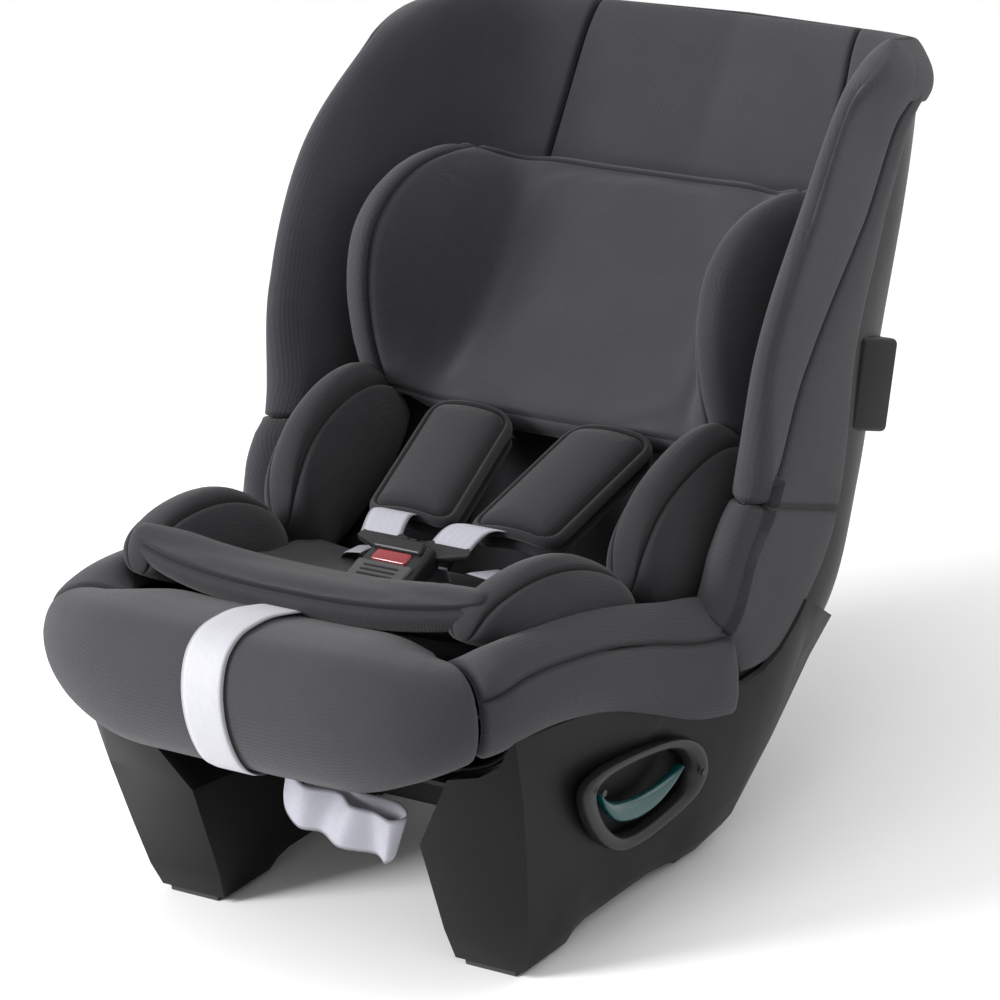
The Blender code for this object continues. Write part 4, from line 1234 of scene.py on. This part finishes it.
class SEAT_OT_buckle(bpy.types.Operator):
    """Make the harness buckle, its red button and the tongues"""

    bl_idname = "seat.buckle"
    bl_label = "Buckle"

    def execute(self, context):
        size = (0.056, 0.060, 0.021)
        body = block("buckle_body", size, 0.0066, on_buckle(0.0, -0.016, 0.0012), "trim plastic", 6, 0.90)
        on_body(body, "seat", "trim_plastic", "buckle_body")
        size = (0.046, 0.026, 0.006)
        cover = block("buckle_cover", size, 0.0026, on_buckle(0.0, -0.028, 0.011), "grey plastic", 4, 1.06)
        on_body(cover, "seat", "trim_plastic")
        for k in range(4):
            place = on_buckle(0.0, -0.0365 + 0.0048 * k, 0.0142)
            rib = block(f"buckle_rib_{k + 1}", (0.030, 0.0016, 0.0012), 0.0005, place, "trim plastic", 2)
            on_body(rib, "seat", "trim_plastic")
        size = (0.044, 0.013, 0.009)
        hood = block("buckle_hood", size, 0.0030, on_buckle(0.0, 0.0045, 0.0110), "trim plastic", 5, 0.85)
        on_body(hood, "seat", "trim_plastic")
        size = (0.031, 0.0120, 0.006)
        button = block("buckle_button", size, 0.0022, on_buckle(0.0, -0.0085, 0.0108), "red plastic", 5)
        on_body(button, "buckle_release", "button_red", "buckle_button")
        for side, hand in SIDES:
            self.tongue(side, hand)
        return {"FINISHED"}

    def tongue(self, side, hand):
        """A tongue, leaning as its strap pulls, and the steel plate that goes into the buckle."""
        lean = (ACROSS * 0.94 + PULL * 0.34 * side).normalized()
        along = (PULL * 0.94 - ACROSS * 0.34 * side).normalized()
        place = turned(buckle_at(side * 0.0285, 0.0190, 0.0022), lean, along, RISE)
        grip = block(f"tongue_{hand}", (0.038, 0.022, 0.0062), 0.0026, place, "trim plastic", 4, 1.05)
        on_body(grip, f"harness_{hand}", "trim_plastic", f"tongue_{hand}")
        place = on_buckle(side * 0.0095, 0.0120, 0.0018)
        plate = block(f"tongue_plate_{hand}", (0.016, 0.024, 0.0024), 0.0008, place, "dark steel", 2)
        on_body(plate, f"harness_{hand}", "steel")


def dress(node, stuff):
    """Gives a CAD node its finish."""
    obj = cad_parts[node]
    if not obj.material_slots:
        obj.data.materials.append(bpy.data.materials[stuff])
    for slot in obj.material_slots:
        slot.material = bpy.data.materials[stuff]


def wall_x(z):
    """The base's side wall, as a distance from the middle, at the belt guide."""
    return 0.190 + (z - 0.065) * 0.165


GUIDE = ((-0.073, 0.140), (-0.054, 0.1475), (-0.010, 0.144), (0.040, 0.134), (0.072, 0.119), (0.089, 0.100),
         (0.091, 0.083), (0.074, 0.071), (0.021, 0.065), (-0.018, 0.070), (-0.047, 0.091), (-0.067, 0.118))
BAR = ((-0.050, 0.128, 0.0010), (-0.040, 0.116, 0.0045), (-0.022, 0.102, 0.0075), (0.004, 0.094, 0.0085),
       (0.030, 0.093, 0.0075), (0.050, 0.098, 0.0045), (0.060, 0.104, 0.0010))


def guide_outline(scale, deep, side):
    """A smooth ring round the belt guide, scaled about its middle, deep in the leaning wall."""
    closed = (GUIDE[-1], *GUIDE, GUIDE[0], GUIDE[1])
    ring = []
    for k in range(96):
        y, z = curve(closed, 1.0 + 12.0 * k / 96.0)
        y, z = 0.010 + (y - 0.010) * scale, 0.107 + (z - 0.107) * scale
        ring.append(Vector((side * (wall_x(z) - deep), y, z)))
    return ring


def loft(name, rings, stuff, capped=False):
    """A smooth moulding through closed rings."""
    bm = bmesh.new()
    rows = [[bm.verts.new((p.x, p.y + SHIFT_Y, p.z)) for p in ring] for ring in rings]
    skin(bm, rows)
    if capped:
        bm.faces.new(rows[0])
        bm.faces.new(list(reversed(rows[-1])))
    bmesh.ops.remove_doubles(bm, verts=bm.verts, dist=1e-5)
    bmesh.ops.recalc_face_normals(bm, faces=bm.faces)
    look_out(bm)
    return new_piece(name, bm, stuff)


def moulded(node, edge, stuff, body, slot):
    """A moulding made from a CAD node's own shape, with its edges rounded."""
    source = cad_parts[node]
    mesh = source.data.copy()
    mesh.transform(source.matrix_world)
    mesh.materials.clear()
    mesh.materials.append(bpy.data.materials[stuff])
    obj = bpy.data.objects.new(fresh(node), mesh)
    bpy.context.scene.collection.objects.link(obj)
    choose(obj)
    bpy.ops.object.mode_set(mode="EDIT")
    bpy.ops.mesh.select_all(action="SELECT")
    bpy.ops.mesh.remove_doubles(threshold=0.00002)
    bpy.ops.mesh.dissolve_limited(angle_limit=math.radians(0.6))
    bpy.ops.object.mode_set(mode="OBJECT")
    rounding = obj.modifiers.new("Edges", "BEVEL")
    rounding.width = edge
    rounding.segments = 3
    rounding.limit_method = "ANGLE"
    rounding.angle_limit = math.radians(28.0)
    rounding.use_clamp_overlap = True
    apply_all(obj)
    bpy.ops.object.shade_smooth_by_angle(angle=math.radians(38.0))
    on_body(obj, body, slot, node)


# The guide's frame: each step is the ring's size and how deep it lies in the wall, once round its section.
FRAME_STEPS = (
    (1.0, 0.0066), (1.0, 0.0004), (0.994, -0.0012), (0.978, -0.0021), (0.930, -0.0023),
    (0.860, -0.0017), (0.815, -0.0006), (0.790, 0.0020), (0.775, 0.0060), (0.770, 0.0110),
    (0.860, 0.0100), (1.0, 0.0066),
)

# The folded webbing's way, and how far it leans at each point.
TAIL = (((-0.010, -0.128, 0.150), 0.0), ((-0.006, -0.140, 0.132), 0.0), ((0.012, -0.149, 0.122), 0.0),
        ((0.032, -0.141, 0.118), 0.2), ((0.050, -0.149, 0.114), 0.1), ((0.068, -0.140, 0.109), -0.1),
        ((0.082, -0.143, 0.106), 0.0), ((0.087, -0.133, 0.108), 0.1), ((0.072, -0.127, 0.113), 0.2),
        ((0.046, -0.133, 0.118), 0.1), ((0.020, -0.126, 0.122), 0.0), ((0.004, -0.132, 0.130), 0.0))


class SEAT_OT_shell(bpy.types.Operator):
    """Finish the moulded shell, the base, the belt guides and the hardware"""

    bl_idname = "seat.shell"
    bl_label = "Shell and base"

    def execute(self, context):
        self.shell()
        for side, hand in SIDES:
            moulded(f"base_side_{hand}", 0.0040, "shell plastic", "seat", "shell_plastic")
            self.belt_hook(side, hand)
            self.belt_guide(side, hand)
        self.lever()
        self.tail()
        dress("base_bridge", "shell plastic")
        dress("crotch_strap", "silver webbing")
        for node in ("headrest_carrier", "adjuster_housing", "adjuster_button"):
            dress(node, "trim plastic")
        for _, hand in SIDES:
            for end in ("front", "rear"):
                dress(f"foot_{end}_{hand}", "foot rubber")
                dress(f"frame_screw_{end}_{hand}", "dark steel")
        return {"FINISHED"}

    def shell(self):
        """The bucket that the covers lie in."""
        columns = spaced(-0.985, 0.985, 90, (), 0.62)
        rows = spaced(0.020, 0.960, 110, (), 0.55)
        shell = padded_sheet(
            "seat_shell", lambda u, v: bucket(u, v, 0.03), columns, rows, 0.004, "shell plastic",
            lambda p: p - Vector((0.0, 0.20, 0.36)), puff=0.0, groove=0.0,
        )
        on_body(shell, "seat", "shell_plastic", "seat_shell")

    def belt_hook(self, side, hand):
        """The block on the side of the back, leaning with it."""
        rise, back = Vector((0.0, 0.337, 0.9415)), Vector((0.0, 0.9415, -0.337))
        place = turned(Vector((side * 0.191, 0.330, 0.304)), ACROSS, back, rise)
        hook = block(f"belt_hook_{hand}", (0.026, 0.054, 0.070), 0.0045, place, "shell plastic", 5)
        on_body(hook, "seat", "shell_plastic", f"belt_hook_{hand}")

    def belt_guide(self, side, hand):
        """The guide's raised frame and the bar that the belt goes behind."""
        rings = [guide_outline(scale, deep, side) for scale, deep in FRAME_STEPS]
        guard = loft(f"belt_guide_frame_{hand}", rings, "trim plastic")
        on_body(guard, "seat", "shell_plastic", f"belt_guide_frame_{hand}")
        circle = [(math.cos(math.tau * n / 20), math.sin(math.tau * n / 20)) for n in range(20)]
        rings, thick = [], 0.0045
        for k in range(33):
            y, z, half = curve(BAR, k * 6.0 / 32.0)
            depth = wall_x(z) - thick
            rings.append([Vector((side * (depth + thick * c), y, z + half * d)) for c, d in circle])
        bar = loft(f"belt_guide_{hand}", rings, "teal plastic", capped=True)
        on_body(bar, "seat", "belt_guide_teal", f"belt_guide_{hand}")

    def lever(self):
        """The headrest's release, just behind the pad's top."""
        place = turned(head_point(0.0, 0.176, 0.027), ACROSS, BACK_UP, BACK_OUT)
        lever = block("headrest_lever", (0.070, 0.011, 0.009), 0.003, place, "trim plastic")
        on_body(lever, "headrest_handle", "trim_plastic", "headrest_lever")

    def tail(self):
        """The adjuster webbing's free end, folded up under the seat's front."""
        points = [Vector(p) for p, _ in TAIL]
        across = [Vector((0.25 + lean, lean, 1.0)) for _, lean in TAIL]
        strap = ribbon("strap_tail", points, across, 0.036, 0.0014, "silver webbing", (0.0, -1.0, 0.0), 150)
        finish_soft(strap, "seat", "light_webbing", None, "strap_tail")


# ---------------------------------------------------------------- stage


class SEAT_OT_stage(bpy.types.Operator):
    """Set up the floor, the light and the camera"""

    bl_idname = "seat.stage"
    bl_label = "Studio"

    def execute(self, context):
        scene = context.scene
        deselect()
        bpy.ops.mesh.primitive_plane_add(size=14.0, location=(0.0, 0.0, 0.0))
        floor = context.active_object
        floor.name = "floor"
        floor.data.materials.append(self.floor_material())
        world = bpy.data.worlds.new("studio")
        scene.world = world
        world.use_nodes = True
        sky = world.node_tree.nodes["Background"]
        sky.inputs["Color"].default_value = (1.0, 1.0, 1.0, 1.0)
        sky.inputs["Strength"].default_value = 0.92
        lights = (
            ("key", (-1.5, -2.2, 1.3), 1.0, 105.0),
            ("top", (0.2, -0.4, 2.4), 1.4, 14.0),
            ("rim", (1.6, 1.6, 1.4), 1.4, 6.0),
        )
        for name, place, size, power in lights:
            bpy.ops.object.light_add(type="AREA", location=place)
            light = context.active_object
            light.name = name
            light.data.size = size
            light.data.energy = power
            way = Vector((0.0, 0.0, 0.25)) - Vector(place)
            light.rotation_euler = way.to_track_quat("-Z", "Y").to_euler()
        right = Vector((0.82128272, 0.56674045, -0.06557411))
        up = Vector((-0.15466299, 0.33179971, 0.93058493))
        forward = Vector((-0.54915759, 0.75413143, -0.36015514))
        camera = bpy.data.objects.new("camera", bpy.data.cameras.new("camera"))
        scene.collection.objects.link(camera)
        camera.matrix_world = turned(Vector((1.93498838, -2.67144248, 1.51929639)), right, up, -forward)
        camera.data.lens = 172.8
        camera.data.sensor_width = 36.0
        camera.data.dof.use_dof = False
        camera.data.clip_start = 0.1
        camera.data.clip_end = 50.0
        scene.camera = camera
        scene.view_settings.view_transform = "Standard"
        return {"FINISHED"}

    def floor_material(self):
        """A pale, almost even floor."""
        made = bpy.data.materials.new("pale floor")
        made.use_nodes = True
        tree = made.node_tree
        shader = tree.nodes["Principled BSDF"]
        place = add(tree, "ShaderNodeTexCoord").outputs["Object"]
        ramp = remap(tree, noise(tree, place, 1.4, 3.0), 0.3, 0.7, 0.86, 0.90)
        tree.links.new(ramp, shader.inputs["Base Color"])
        shader.inputs["Roughness"].default_value = 0.7
        shader.inputs["Specular IOR Level"].default_value = 0.2
        return made


# ---------------------------------------------------------------- panel


STEPS = (
    SEAT_OT_wings,
    SEAT_OT_back,
    SEAT_OT_rim,
    SEAT_OT_insert,
    SEAT_OT_headrest,
    SEAT_OT_harness,
    SEAT_OT_buckle,
    SEAT_OT_shell,
    SEAT_OT_stage,
)


class SEAT_PT_panel(bpy.types.Panel):
    """The car seat's pieces and sizes"""

    bl_idname = "SEAT_PT_panel"
    bl_label = "Child Car Seat"
    bl_space_type = "VIEW_3D"
    bl_region_type = "UI"
    bl_category = "Car Seat"

    def draw(self, context):
        layout = self.layout
        for step in STEPS:
            layout.operator(step.bl_idname)
        column = layout.column()
        for group in (context.scene.seat_sizes, context.scene.seat_colours):
            for name in group.__annotations__:
                column.prop(group, name)


CLASSES = (SeatSizes, SeatColours, *STEPS, SEAT_PT_panel)


def register():
    """Registers the sizes, colours, operators and panel."""
    for kind in CLASSES:
        bpy.utils.register_class(kind)
    bpy.types.Scene.seat_sizes = bpy.props.PointerProperty(type=SeatSizes)
    bpy.types.Scene.seat_colours = bpy.props.PointerProperty(type=SeatColours)


def unregister():
    """Takes them away again."""
    del bpy.types.Scene.seat_colours
    del bpy.types.Scene.seat_sizes
    for kind in reversed(CLASSES):
        bpy.utils.unregister_class(kind)


def main():
    """Makes the whole seat."""
    register()
    make_materials()
    bpy.ops.seat.wings()
    bpy.ops.seat.back()
    bpy.ops.seat.rim()
    bpy.ops.seat.insert()
    bpy.ops.seat.headrest()
    bpy.ops.seat.harness()
    bpy.ops.seat.buckle()
    bpy.ops.seat.shell()
    bpy.ops.seat.stage()


if __name__ == "__main__":
    main()
